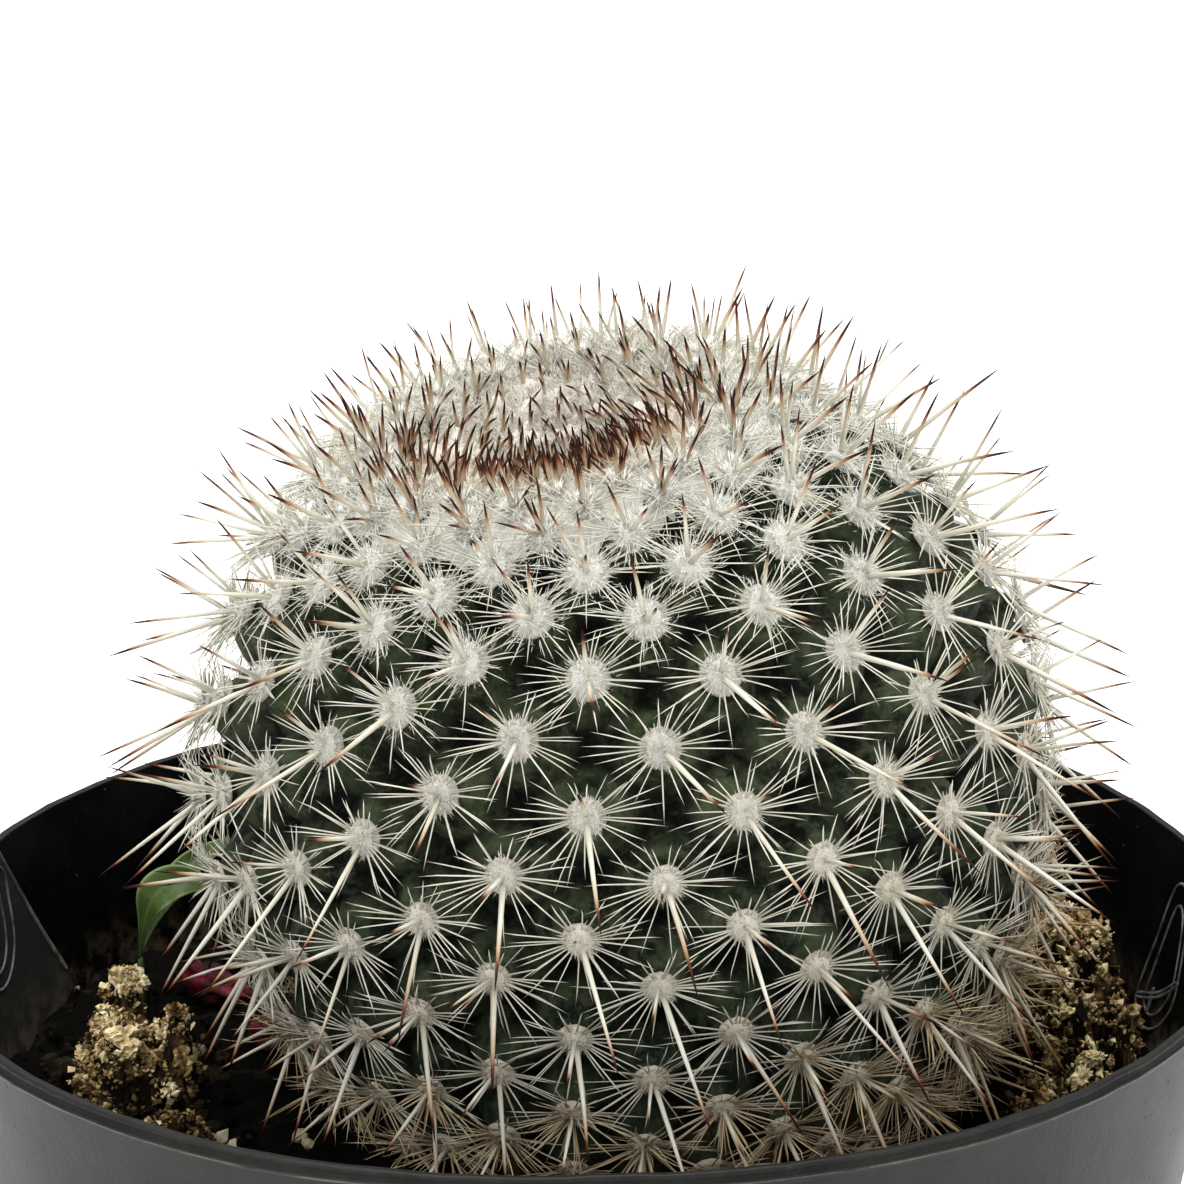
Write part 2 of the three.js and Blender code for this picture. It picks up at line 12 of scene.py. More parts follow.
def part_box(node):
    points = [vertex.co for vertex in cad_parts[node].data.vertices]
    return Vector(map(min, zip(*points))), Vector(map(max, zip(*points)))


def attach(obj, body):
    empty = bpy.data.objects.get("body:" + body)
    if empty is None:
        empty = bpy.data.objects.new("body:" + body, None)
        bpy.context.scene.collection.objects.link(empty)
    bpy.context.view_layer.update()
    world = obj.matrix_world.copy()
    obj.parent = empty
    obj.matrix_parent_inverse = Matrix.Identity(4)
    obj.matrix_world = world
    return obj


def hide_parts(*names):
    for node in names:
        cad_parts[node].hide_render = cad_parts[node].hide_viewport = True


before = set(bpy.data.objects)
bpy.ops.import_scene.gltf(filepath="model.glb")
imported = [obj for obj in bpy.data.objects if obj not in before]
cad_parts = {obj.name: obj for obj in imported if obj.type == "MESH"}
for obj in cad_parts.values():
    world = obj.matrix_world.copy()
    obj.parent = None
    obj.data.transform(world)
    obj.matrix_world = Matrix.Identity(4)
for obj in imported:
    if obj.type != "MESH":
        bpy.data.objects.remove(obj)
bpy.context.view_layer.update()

MM = 0.001
FULL_TURN = 2 * np.pi


def node_box(name):
    """Lowest and highest corner of a solid, in millimetres."""
    low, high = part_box(name)
    return np.array(low) / MM, np.array(high) / MM


# The pot
RIM_RADIUS, _, POT_HEIGHT = node_box("pot")[1]
BASE_RADIUS = 34.0
WALL = 1.0
FLOOR = 1.5
LIP_DEPTH = 1.0
LIP_WIDTH = 1.1
LIP_OVERHANG = 0.4
POT_SIDES = 192
DRAIN_HOLES = 6
DRAIN_HOLE_RADIUS = 3.5
DRAIN_CIRCLE_RADIUS = 22.0

# How far the pot's wall is pushed out at the rim, by azimuth in degrees
SQUEEZE_AZIMUTHS = [-180, -140, -112, -90, -60, 0, 20, 40, 70, 140, 180]
SQUEEZE_PUSHES = [-0.6, -0.6, -0.9, -2.0, -1.6, -1.7, -1.0, 0.1, 0.3, -0.2, -0.6]

# The inner wall is painted lighter, as painted light, on the near side of this slanting plane
LIT_PLANE_NORMAL = (0.287, 0.853, 0.438)
LIT_PLANE_DEPTH = 33.5

# The raised outlines on the inner wall, as azimuths in degrees and heights from the rim
RIB_RADIUS = 0.15
LEFT_LOOP = [(163.6, -1.7), (163.4, -4.5), (164.3, -7.6), (167.0, -9.6), (170.2, -9.7), (173.0, -7.5)]
LEFT_INNER_LOOP = [(165.4, -2.4), (165.2, -4.6), (165.9, -7.0), (167.6, -8.4), (169.8, -8.5), (171.6, -6.8)]
RIGHT_LOOP = [(13.4, -3.1), (15.6, -8.3), (17.3, -13.0), (16.0, -14.8), (12.9, -14.7), (9.6, -13.0)]
RIGHT_INNER_LOOP = [(12.4, -4.6), (14.1, -8.6), (15.4, -12.6), (14.6, -13.6), (12.7, -13.5), (10.4, -12.0)]
WALL_LOOPS = [
    LEFT_LOOP + [(173.6, -4.0), (170, -1.4)],
    LEFT_INNER_LOOP + [(172.0, -4.2), (169, -2.2)],
    RIGHT_LOOP + [(7.6, -10.0), (9.5, -3.6)],
    RIGHT_INNER_LOOP + [(8.9, -9.6), (10.2, -5.0)],
    [(16.9, -12.9), (12.6, -11.6), (8.2, -9.4), (8.0, -9.7), (12.4, -11.9), (16.7, -13.2)],
    [(14.0, -13.5), (13.6, -11.8), (13.9, -11.8), (14.3, -13.5)],
    [(156.3, -11.8), (159.1, -7.7), (163.1, -0.9), (162.9, -0.9), (158.9, -7.7), (156.1, -11.8)],
]

# The soil, which ends in a skirt a little below its surface
SOIL_LEVEL = POT_HEIGHT - 15.0
SOIL_SLOPE = 0.015
SOIL_GAP = 0.35
SKIRT_LEVEL = SOIL_LEVEL - 6
SOIL_CRUMBS = 2400
CRUMB_REACH = 44.8

# Pale bits on the soil: places and sizes
PALE_BITS = [
    (-21.5, -9.5, 0.55),
    (-21.0, -10.2, 0.4),
    (-20.7, -10.8, 0.5),
    (-27.2, -9.8, 0.7),
    (-26.2, -10.2, 0.6),
]

# The heaps of dry earth, as mounds: place, half widths and height above the soil
HEAPS = {
    "earth_crumbs_left": [
        (-34.4, -3.2, 5.0, 6.6, 6.2),
        (-31.0, -2.2, 1.7, 3.0, 7.0),
        (-36.0, 7.6, 2.4, 2.8, 7.6),
        (-30.4, -11.5, 3.6, 3.6, 3.4),
        (-36.4, 2.5, 3.4, 5.5, 5.4),
    ],
    "earth_crumbs_right": [
        (38.2, 15.4, 4.4, 4.6, 9.2),
        (35.0, 14.6, 3.2, 4.0, 8.6),
        (36.4, 4.0, 3.6, 7.5, 7.2),
        (37.6, -4.5, 3.6, 5.5, 4.4),
        (34.3, -7.0, 3.2, 4.0, 3.4),
        (40.0, 12.0, 3.4, 4.6, 9.2),
        (40.6, 8.6, 2.8, 6.0, 6.6),
    ],
}

# Large lumps: place across and along, height above the soil, radius and tone
HEAP_PEAKS = {
    "earth_crumbs_left": [
        (-36.2, 7.4, 6.0, 1.15, 0.80),
        (-35.0, 7.4, 6.3, 0.95, 0.85),
        (-35.5, 7.2, 7.2, 0.55, 0.80),
        (-31.9, -2.4, 4.4, 0.95, 0.60),
        (-31.7, -2.3, 5.4, 0.75, 0.65),
        (-31.5, -2.3, 6.3, 0.52, 0.72),
        (-31.3, -2.2, 7.1, 0.38, 0.78),
        (-31.2, -2.2, 7.7, 0.26, 0.80),
    ],
    "earth_crumbs_right": [
        (38.7, 13.6, 7.8, 1.15, 0.50),
        (37.5, 13.9, 7.5, 1.25, 0.58),
        (36.3, 14.3, 7.0, 1.15, 0.50),
        (39.6, 13.0, 7.4, 0.80, 0.45),
        (35.9, 5.2, 6.9, 0.95, 0.80),
        (34.9, 5.6, 6.5, 0.75, 0.72),
        (36.0, 2.4, 5.0, 0.90, 0.85),
        (37.8, -3.2, 3.6, 0.90, 0.85),
        (36.8, -6.0, 3.2, 1.00, 0.78),
    ],
}
SMALL_LUMPS = 60
CLUMPS = 140
CRUMBS_PER_CLUMP = 21
LOOSE_CRUMBS = 1500

# The cactus body: the round shape that the tubercle tips lie on, on an axis that leans
BODY_RADIUS = 31.1
BODY_RISE = 29.6
BODY_DROP = 43.0
BODY_ROUNDNESS = 1.8
BODY_CENTRE = np.array([2.3, -1.3, POT_HEIGHT + 13.6])
BODY_LEAN = (-0.177, -0.163)
CROWN_RADIUS = 15.0
CROWN_DIP = 7.0

# The tubercles: each follows the last by the golden angle, and 13 of them make one row
GOLDEN_ANGLE = np.radians(137.545)
FIRST_AZIMUTH = 0.437
SHORT_SPIRALS = 13
LONG_SPIRALS = 21
CROWN_SHRINK = 0.09
FOOT_ROW = 11.0
FOOT_ROW_STEP = 0.064
TOP_ROW = -30
FIRST_SKIN_ROW = -7
LAST_ROW = 24
TUBERCLE_DEPTH = 4.2
WOOL_FOOT_ROW = 2

# How many spines and hairs there are, most of them counted for each areole
RADIALS = 28
DEAD_SPINES = 26
AREOLE_HAIRS = 240
CROWN_CURLS = 5000
CROWN_FUZZ = 25000

# The camera: its place in rim radii, its angles in degrees, and its focal length in pixels of the photograph
CAMERA_DISTANCE = 6
CAMERA_ELEVATION = 21.09
CAMERA_PITCH = 16.63
CAMERA_ROLL = -0.52
FOCAL_PIXELS = 4006
PHOTO_PIXELS = 1184
SENSOR_WIDTH = 36


# Shader graphs


class Socket:
    """An output of a shader graph. Arithmetic on it adds Math nodes."""

    def __init__(self, graph, socket):
        self.graph = graph
        self.socket = socket

    def _math(self, operation, first, second, clamp=False):
        return self.graph.node("Math", 0, {0: first, 1: second}, operation=operation, use_clamp=clamp)

    def __add__(self, other):
        return self._math("ADD", self, other)

    def __sub__(self, other):
        return self._math("SUBTRACT", self, other)

    def __rsub__(self, other):
        return self._math("SUBTRACT", other, self)

    def __mul__(self, other):
        return self._math("MULTIPLY", self, other)

    def __truediv__(self, other):
        return self._math("DIVIDE", self, other)

    def __neg__(self):
        return self * -1.0

    __radd__ = __add__
    __rmul__ = __mul__

    def clamped(self):
        return self._math("ADD", self, 0.0, clamp=True)

    def between(self, low, high):
        """0 below low, 1 above high, and even in between."""
        return ((self - low) / (high - low)).clamped()


class Graph:
    """A material with one Principled shader, and short ways to add nodes to it."""

    def __init__(self, name):
        self.material = bpy.data.materials.new(name)
        self.material.use_nodes = True
        self.tree = self.material.node_tree
        self.shader = self.tree.nodes["Principled BSDF"]

    def feed(self, target, value):
        """Links an output, or sets a number, a vector or an RGB colour."""
        if isinstance(value, Socket):
            self.tree.links.new(value.socket, target)
        else:
            target.default_value = (*value, 1.0) if target.type == "RGBA" else value

    def node(self, kind, output, inputs=None, **settings):
        node = self.tree.nodes.new("ShaderNode" + kind)
        for key, value in settings.items():
            setattr(node, key, value)
        for key, value in (inputs or {}).items():
            self.feed(node.inputs[key], value)
        return Socket(self, node.outputs[output])

    def mix(self, share, first, second):
        """A colour that goes from first to second as the share goes from 0 to 1."""
        return self.node("Mix", 2, {0: share, 6: first, 7: second}, data_type="RGBA")

    def paint(self, colour, *coats):
        """A colour under coats. Each coat is the share that it covers and its own colour."""
        for share, coat in coats:
            colour = self.mix(share, colour, coat)
        return colour

    def place(self):
        return self.node("TexCoord", "Object")

    def height_between(self, low, high):
        """0 below one height and 1 above another, in millimetres."""
        return self.node("SeparateXYZ", "Z", {0: self.place()}).between(low * MM, high * MM)

    def noise(self, scale, detail=4.0, roughness=0.55):
        """Noise from 0 to 1 with features of about 1000 / scale millimetres."""
        values = {"Vector": self.place(), "Scale": scale, "Detail": detail, "Roughness": roughness}
        return self.node("TexNoise", 0, values)

    def attribute(self, name):
        return self.node("Attribute", "Fac", attribute_name=name)

    def finish(self, colour, roughness, specular, relief=None, depth=0.0, **others):
        """Feeds the shader, with a bump of depth millimetres from a relief, and gives the material."""
        values = {"Base Color": colour, "Roughness": roughness, "Specular IOR Level": specular}
        if relief:
            values["Normal"] = self.node("Bump", "Normal", {"Height": relief, "Distance": depth * MM})
        values.update({key.replace("_", " "): value for key, value in others.items()})
        for key, value in values.items():
            self.feed(self.shader.inputs[key], value)
        return self.material


# Meshes


def new_object(name, points, faces):
    """An object with a mesh of triangles. Its points are given in metres."""
    mesh = bpy.data.meshes.new(name)
    faces = np.asarray(faces, np.int32)
    mesh.vertices.add(len(points))
    mesh.vertices.foreach_set("co", np.asarray(points, np.float32).ravel())
    mesh.loops.add(faces.size)
    mesh.loops.foreach_set("vertex_index", faces.ravel())
    mesh.polygons.add(len(faces))
    mesh.polygons.foreach_set("loop_start", np.arange(0, faces.size, 3, dtype=np.int32))
    mesh.update(calc_edges=True)
    item = bpy.data.objects.new(name, mesh)
    bpy.context.scene.collection.objects.link(item)
    return item


def add_piece(name, points, faces, shares, material, slot, node=None, smooth=True):
    """A piece of the finished object, with points in millimetres. If it names a solid, it stands for it.

    shares are values for each point, which the material reads as attributes.
    """
    piece = new_object(name, np.asarray(points, np.float32) * MM, faces)
    piece.data.polygons.foreach_set("use_smooth", np.full(len(faces), smooth))
    for key, values in shares.items():
        layer = piece.data.attributes.new(key, "FLOAT", "POINT")
        layer.data.foreach_set("value", np.asarray(values, np.float32))
    piece.data.materials.append(material)
    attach(piece, "root")
    if node:
        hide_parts(node)
    return piece


def triangles(quads):
    """Two triangles for each four-cornered face."""
    return np.concatenate([quads[:, [0, 1, 2]], quads[:, [0, 2, 3]]])


def sheet_faces(index):
    """The four-cornered faces of a grid of point numbers, and the numbers in order round its border."""
    corners = [index[:-1, :-1], index[1:, :-1], index[1:, 1:], index[:-1, 1:]]
    border = np.concatenate([index[:-1, 0], index[-1, :-1], index[:0:-1, -1], index[0, :0:-1]])
    return np.stack(corners, -1).reshape(-1, 4), border


def ring_faces(rings, sides, closed=False):
    """Triangles between rings of points numbered ring by ring, and from the last to the first if closed."""
    index = np.arange(rings * sides).reshape(rings, sides)
    index = np.pad(index, ((0, int(closed)), (0, 1)), mode="wrap")
    return triangles(sheet_faces(index.T)[0])


def repeat_faces(faces, size, count):
    """The faces of a shape of size points, again for each of its copies."""
    return (faces[None] + (np.arange(count) * size)[:, None, None]).reshape(-1, 3)


def capped(first, rings, last):
    """A closed skin over rings of points, rings[ring, side], with a fan to a point at either end."""
    count, sides, _ = rings.shape
    here = np.arange(sides) + 1
    after = np.roll(here, -1)
    end = count * sides + 1
    before = end - sides - 1
    faces = [np.column_stack([np.zeros(sides, int), after, here]), ring_faces(count, sides) + 1]
    faces.append(np.column_stack([here + before, after + before, np.full(sides, end)]))
    return np.concatenate([[first], rings.reshape(-1, 3), [last]]), np.concatenate(faces)


def pointed(rings, tips):
    """Many closed shapes, flat at their first ring and pointed at their tip. rings[shape, ring, side]."""
    count, ring_count, sides, _ = rings.shape
    tip = ring_count * sides
    here = np.arange(sides)
    last = tip - sides
    faces = [ring_faces(ring_count, sides)]
    faces.append(np.column_stack([last + here, last + np.roll(here, -1), np.full(sides, tip)]))
    faces.append(np.column_stack([np.zeros(sides - 2, int), here[2:], here[1:-1]]))
    points = np.concatenate([rings.reshape(count, -1, 3), tips[:, None]], axis=1)
    return points.reshape(-1, 3), repeat_faces(np.concatenate(faces), tip + 1, count)


def join_meshes(parts):
    """One set of points and faces from several."""
    starts = np.cumsum([0] + [len(points) for points, _ in parts[:-1]])
    faces = [faces + start for (_, faces), start in zip(parts, starts)]
    return np.concatenate([points for points, _ in parts]), np.concatenate(faces)


def wheel(across, beside, sides):
    """Even directions round an axis, from two directions square to it."""
    turn = np.arange(sides) * FULL_TURN / sides
    return across[:, None] * np.cos(turn)[None, :, None] + beside[:, None] * np.sin(turn)[None, :, None]


def circles(radii, heights, sides):
    """Rings of points about +Z, one for each radius and height."""
    angles = np.arange(sides) * FULL_TURN / sides
    level = np.outer(heights, np.ones(sides))
    return np.stack([np.outer(radii, np.cos(angles)), np.outer(radii, np.sin(angles)), level], -1)


def lathe(profile, sides):
    """A closed surface of revolution about +Z from (radius, height) points that start and end on the axis."""
    radii, heights = np.array(profile, float).T
    rings = circles(radii[1:-1], heights[1:-1], sides)
    return capped((0, 0, heights[0]), rings, (0, 0, heights[-1]))


def normalised(directions):
    return directions / np.linalg.norm(directions, axis=-1, keepdims=True)


def turn_between(start, end):
    """The matrix that turns one direction onto another."""
    return np.array(Vector(start).rotation_difference(Vector(end)).to_matrix())


def smoothstep(value, low, high):
    """0 below low, 1 above high, and an S-shaped curve in between."""
    t = np.clip((value - low) / (high - low), 0, 1)
    return t * t * (3 - 2 * t)


def hash_noise(points, seed):
    """Smooth random values from -1 to 1, one for each point, with features one unit wide."""
    cell = np.floor(points).astype(np.int64)
    share = points - cell
    share = share * share * (3 - 2 * share)
    total = np.zeros(len(points))
    for corner in np.ndindex(2, 2, 2):
        at = cell + corner
        mixed = at[:, 0] * 374761393 + at[:, 1] * 668265263 + at[:, 2] * 2147483647 + seed * 1274126177
        mixed = (mixed ^ (mixed >> 13)) * 1103515245
        mixed = (mixed ^ (mixed >> 16)) & 0xFFFF
        weight = np.prod(np.where(corner, share, 1 - share), axis=1)
        total += weight * (mixed / 32767.5 - 1)
    return total


def rough_noise(points, size, seed, layers=4):
    """Several layers of noise, each half the size and half the height of the last."""
    total = np.zeros(len(points))
    for layer in range(layers):
        scale = 2**layer
        total += hash_noise(points * scale / size, seed + layer) / scale
    return total


def flat_noise(x, y, size, seed, layers):
    """The same noise over a level plane."""
    return rough_noise(np.column_stack([x, y, np.zeros(len(x))]), size, seed, layers)


def needles(starts, directions, lengths, radii, bends, sides, rings, taper=0.75):
    """Many closed needles. Each runs from its start along its direction, bent by its bend at the tip.

    A needle's radius falls from its base to a point as (1 - share) to the power of taper. The rings
    lie at the square roots of even shares, so closer towards the tip.
    Returns the points, the faces and each point's share of the way to the tip.
    """
    helper = np.where(np.abs(directions[:, 2:3]) < 0.9, [[0.0, 0.0, 1.0]], [[1.0, 0.0, 0.0]])
    across = normalised(np.cross(directions, helper))
    share = np.sqrt(np.arange(rings) / rings)
    centre = starts[:, None] + directions[:, None] * (lengths[:, None] * share)[..., None]
    centre = centre + bends[:, None] * (share**2)[None, :, None]
    spread = (radii[:, None] * (1 - share) ** taper)[..., None, None]
    round_axis = wheel(across, np.cross(directions, across), sides)
    tips = starts + directions * lengths[:, None] + bends
    points, faces = pointed(centre[:, :, None] + spread * round_axis[:, None], tips)
    return points, faces, np.tile(np.append(np.repeat(share, sides), 1.0), len(starts))


def per_point(values, points):
    """A value of each needle or crumb repeated for all its points."""
    return np.repeat(values, len(points) // len(values))


def blob(level):
    """The points and faces of a ball: an octahedron at level 0, and else Blender's icosphere."""
    if level == 0:
        upper = [(0, 1, 2), (1, 3, 2), (3, 4, 2), (4, 0, 2)]
        lower = [(1, 0, 5), (3, 1, 5), (4, 3, 5), (0, 4, 5)]
        return np.concatenate([np.eye(3), -np.eye(3)]), np.array(upper + lower)
    ball = bmesh.new()
    bmesh.ops.create_icosphere(ball, subdivisions=level, radius=1)
    points = np.array([v.co[:] for v in ball.verts])
    faces = np.array([[v.index for v in f.verts] for f in ball.faces])
    ball.free()
    return points, faces


def crumbs(centres, sizes, level, random, roughness=0.45, flatness=1.0, detail=1.7):
    """Rough crumbs of several shapes, each turned its own way, at the given centres.

    A crumb is a ball of triangles whose points are moved in or out by noise, and whose thickness
    is flatness times its width. The higher the detail, the smaller its bumps. It is stretched and
    then turned by a random unit quaternion (w, axis): p + 2 axis x (axis x p + w p).
    """
    base, faces = blob(level)
    shapes = []
    for seed in range(16):
        swell = 1 + roughness * rough_noise(base * detail + seed * 9.1, 1.0, seed, 3)
        shapes.append(base * swell[:, None] * [1, 1, flatness])
    count = len(centres)
    points = np.array(shapes)[random.integers(0, len(shapes), count)]
    spin = normalised(random.normal(0, 1, (count, 4)))
    w, axis = spin[:, None, :1], spin[:, None, 1:]
    points = points * random.uniform(0.6, 1.35, (count, 1, 3))
    points = points + 2 * np.cross(axis, np.cross(axis, points) + w * points)
    points = points * sizes[:, None, None] + centres[:, None]
    return points.reshape(-1, 3), repeat_faces(faces, len(base), count)


# The cactus body


lean_axis = Vector((np.sin(BODY_LEAN[0]), np.sin(BODY_LEAN[1]), 0.0))
lean_axis.z = (1 - lean_axis.length_squared) ** 0.5
LEAN = turn_between((0, 0, 1), lean_axis)


def latitude(row):
    """The latitude of a row on the round shape, in radians, worked out to keep the tubercles' spacing."""
    row = np.asarray(row, float)
    t = (np.clip(row, 0, FOOT_ROW) - 4) / 6
    middle = 0.445 - 0.685 * t - 0.052 * t**2 + 0.103 * t**3
    foot = middle - FOOT_ROW_STEP * np.maximum(row - FOOT_ROW, 0)
    crown = np.arccos(np.cos(middle) * np.exp(CROWN_SHRINK * np.minimum(row, 0)))
    return np.where(row < 0, crown, foot)


def outline(angle):
    """Radius and height of the round shape at a latitude, with the crown's dip."""
    power = 2 / BODY_ROUNDNESS
    reach = np.where(angle > 0, BODY_RISE, BODY_DROP)
    radius = BODY_RADIUS * np.cos(angle) ** power
    height = reach * np.sign(angle) * np.abs(np.sin(angle)) ** power
    inside = np.where(angle > 0, np.clip(1 - (radius / CROWN_RADIUS) ** 2, 0, 1), 0)
    return radius, height - CROWN_DIP * inside**2


class Surface:
    """Places and directions on the round shape, at tubercles or a share of the way to their neighbours."""

    def __init__(self, number, short=0.0, long=0.0):
        short_step = SHORT_SPIRALS * GOLDEN_ANGLE - 5 * FULL_TURN
        long_step = LONG_SPIRALS * GOLDEN_ANGLE - 8 * FULL_TURN
        azimuth = FIRST_AZIMUTH + number * GOLDEN_ANGLE + short * short_step + long * long_step
        self.row = (number + short * SHORT_SPIRALS + long * LONG_SPIRALS) / SHORT_SPIRALS
        angle = latitude(self.row)
        self.radius, height = outline(angle)
        above = outline(angle + 0.01)
        below = outline(angle - 0.01)
        run = below[0] - above[0]
        fall = below[1] - above[1]
        slope = np.hypot(run, fall)
        sine, cosine = np.sin(azimuth), np.cos(azimuth)
        flat = np.zeros_like(azimuth)
        self.out = np.stack([-sine * fall / slope, cosine * fall / slope, run / slope], -1) @ LEAN.T
        self.down = np.stack([sine * run / slope, -cosine * run / slope, fall / slope], -1) @ LEAN.T
        self.side = np.stack([cosine, sine, flat], -1) @ LEAN.T
        local = np.stack([self.radius * sine, -self.radius * cosine, height], -1)
        self.point = local @ LEAN.T + BODY_CENTRE
        self.size = self.radius / BODY_RADIUS

    def towards(self, tilt, turn):
        """Directions tilted from straight out towards the foot, and turned round the areole."""
        flat = self.down * np.cos(turn)[:, None] + self.side * np.sin(turn)[:, None]
        return self.out * np.cos(tilt)[:, None] + flat * np.sin(tilt)[:, None]

    def along(self, turn):
        """Directions that lie flat on the round shape, turned round the areole."""
        return self.towards(np.full(len(turn), np.pi / 2), turn)

    def pick(self, chosen):
        """Some of the places, by a mask or by their numbers."""
        copy = object.__new__(Surface)
        for key, value in vars(self).items():
            setattr(copy, key, value[chosen])
        return copy

    def repeat(self, times):
        """The same places, each repeated."""
        return self.pick(np.repeat(np.arange(len(self.row)), times))


def areoles():
    """Every tubercle's tip that stands clear of the soil."""
    every = Surface(np.arange(TOP_ROW * SHORT_SPIRALS, LAST_ROW * SHORT_SPIRALS))
    return every.pick(every.point[:, 2] > SOIL_LEVEL + 0.5)


def tubercle_sink(short, long):
    """How far the skin lies below the tips, from 0 at a tip to 1 in a valley: half cone, half dome."""
    away = np.minimum(np.hypot(2 * short, 2 * long) / 1.3, 1)
    return 0.45 * away + 0.55 * (1 - np.cos(away * np.pi / 2))


def skin_depth(surface, sink, seed):
    """The tubercles' depth below the round shape, with a little unevenness."""
    wobble = 0.28 * rough_noise(surface.point, 5.0, seed) + 0.12 * rough_noise(surface.point, 1.3, seed + 5)
    return (TUBERCLE_DEPTH * sink + wobble) * surface.size


def wool_depth(surface, sink, seed):
    """The crown's wool: shallow tufts that fill the gaps between young tubercles, and end between the old."""
    edge = smoothstep(surface.row, -3, 0.4)
    fluff = rough_noise(surface.point, 1.3, seed)
    tufts = (0.2 + 1.1 * sink) * (1 + 0.8 * edge) + 3.6 * edge * np.clip(sink - 0.1, 0, 1) + 1.6 * edge**2
    return tufts * (0.45 + 0.55 * surface.size) - 0.6 * fluff * (1 - 0.4 * edge)


def skin_mesh(first_row, last_row, steps, depth_of, cap_depth, seed):
    """A skin of tubercles: a seamless spiral lattice, closed at both ends on the axis.

    A point lies at the round shape less depth_of(surface, sink, seed), measured square to it. The
    upper end is closed by a cone whose tip lies cap_depth below the end's middle.
    """
    first = first_row * SHORT_SPIRALS
    last = last_row * SHORT_SPIRALS
    share = np.arange(steps) / steps - 0.5
    owners = np.arange(first, last + SHORT_SPIRALS + LONG_SPIRALS)
    owner, short, long = (grid.ravel() for grid in np.meshgrid(owners, share, share, indexing="ij"))
    surface = Surface(owner, short, long)
    sink = tubercle_sink(short, long)
    points = surface.point - surface.out * depth_of(surface, sink, seed)[:, None]
    cells, i, j = (grid.ravel() for grid in np.indices((last - first, steps, steps)))

    def corner(di, dj):
        x, y = i + di, j + dj
        number = cells + SHORT_SPIRALS * (x == steps) + LONG_SPIRALS * (y == steps)
        return (number * steps + x % steps) * steps + y % steps

    quads = np.column_stack([corner(0, 0), corner(1, 0), corner(1, 1), corner(0, 1)])
    starts = quads.ravel()
    ends = np.roll(quads, -1, axis=1).ravel()
    limit = len(points)
    open_edge = ~np.isin(starts * limit + ends, ends * limit + starts)
    starts, ends = starts[open_edge], ends[open_edge]
    is_top = surface.row[starts] < (first_row + last_row) / 2
    centres = [points[starts[is_top]].mean(0) - LEAN[:, 2] * cap_depth, points[starts[~is_top]].mean(0)]
    points = np.concatenate([points, centres])
    caps = np.column_stack([ends, starts, np.where(is_top, limit, limit + 1)])
    row = np.append(surface.row, [first_row, last_row])
    sink = np.append(sink, [1, 1])
    used, faces = np.unique(np.concatenate([triangles(quads), caps]), return_inverse=True)
    return points[used], faces.reshape(-1, 3), {"sink": sink[used], "row": row[used]}


def wool_domes(surface, sides=11, rings=3):
    """A low felted cushion at each place, closed underneath."""
    radius = wool_radius(surface)
    height = 0.42 * radius
    rise = np.arange(rings) / rings * np.pi / 2
    round_place = wheel(surface.down, surface.side, sides)[:, None]
    lift = surface.out[:, None, None] * (height[:, None] * np.sin(rise) - 0.25)[..., None, None]
    reach = (radius[:, None] * np.cos(rise))[..., None, None] * round_place
    top = surface.point + surface.out * (height - 0.25)[:, None]
    return pointed(surface.point[:, None, None] + lift + reach, top)


# Spines and hairs


def near_pit(surface):
    """A share that is 1 in the near half of the crown's pit, where the wool is short."""
    return (1 - smoothstep(surface.row, -6.5, -4.5)) * (1 - smoothstep(surface.point[:, 1], -6, 3))


def spines(shape, sides, rings, taper, age, tint, brown=None):
    """Needles with what the spines' material reads, less those that would end in the soil or close to it.

    brown is the share of its length at which a spine's brown starts. Without it none does.
    """
    points, faces, along = needles(*shape, sides, rings, taper)
    past = along - 2
    if brown is not None:
        brown = per_point(brown, points)
        past = (along - brown) / (1 - brown)
    shares = {"past": past, "age": per_point(age, points), "tint": per_point(tint, points)}
    size = rings * sides + 1
    clear = points[size - 1 :: size, 2] > SOIL_LEVEL + 0.6
    keep = np.repeat(clear, size)
    index = np.cumsum(keep) - 1
    kept = faces[np.repeat(clear, len(faces) // len(age))]
    return points[keep], index[kept], {key: value[keep] for key, value in shares.items()}


def radial_spines(tips, random):
    """The flat star of white spines at each areole, longest to the sides and shortest upwards."""
    tips = tips.pick(tips.row > -7)
    surface = tips.repeat(RADIALS)
    count = len(surface.row)
    even = np.tile(np.arange(RADIALS) * FULL_TURN / RADIALS, len(tips.row))
    even = even + random.uniform(-0.15, 0.15, count)
    turn = even + 0.2 * np.sin(2 * even)
    young = 1 - smoothstep(surface.row, -6, -1)
    soft = 1 - smoothstep(surface.row, -1, 7)
    old = smoothstep(surface.row, 10.5, 15.5)
    near = near_pit(surface)
    reach = 4.85 + 0.8 * np.sin(turn) ** 2 - 1.7 * np.clip(-np.cos(turn), 0, 1) ** 2
    reach = reach * (1 - 0.4 * young) * (1 - 0.45 * near) * random.uniform(0.76, 1.1, count)
    lift = np.radians(14 + 9 * soft + 24 * young * (1 - near) + random.normal(0, 7, count) + 6 * old)
    direction = surface.towards(np.pi / 2 - lift, turn)
    start = surface.point + surface.along(turn) * (0.95 * surface.size**0.5)[:, None] + surface.out * 0.12
    bend = -surface.out * (0.35 * random.uniform(0, 1, count))[:, None] + surface.down * 0.15
    bend = bend + random.normal(0, 0.16, (count, 3))
    radius = 0.074 * (0.55 + 0.45 * surface.size) * random.uniform(0.75, 1.2, count)
    shape = (start, direction, reach - 0.9, radius, bend)
    return spines(shape, 3, 2, 0.3, old, random.uniform(0, 1, count))


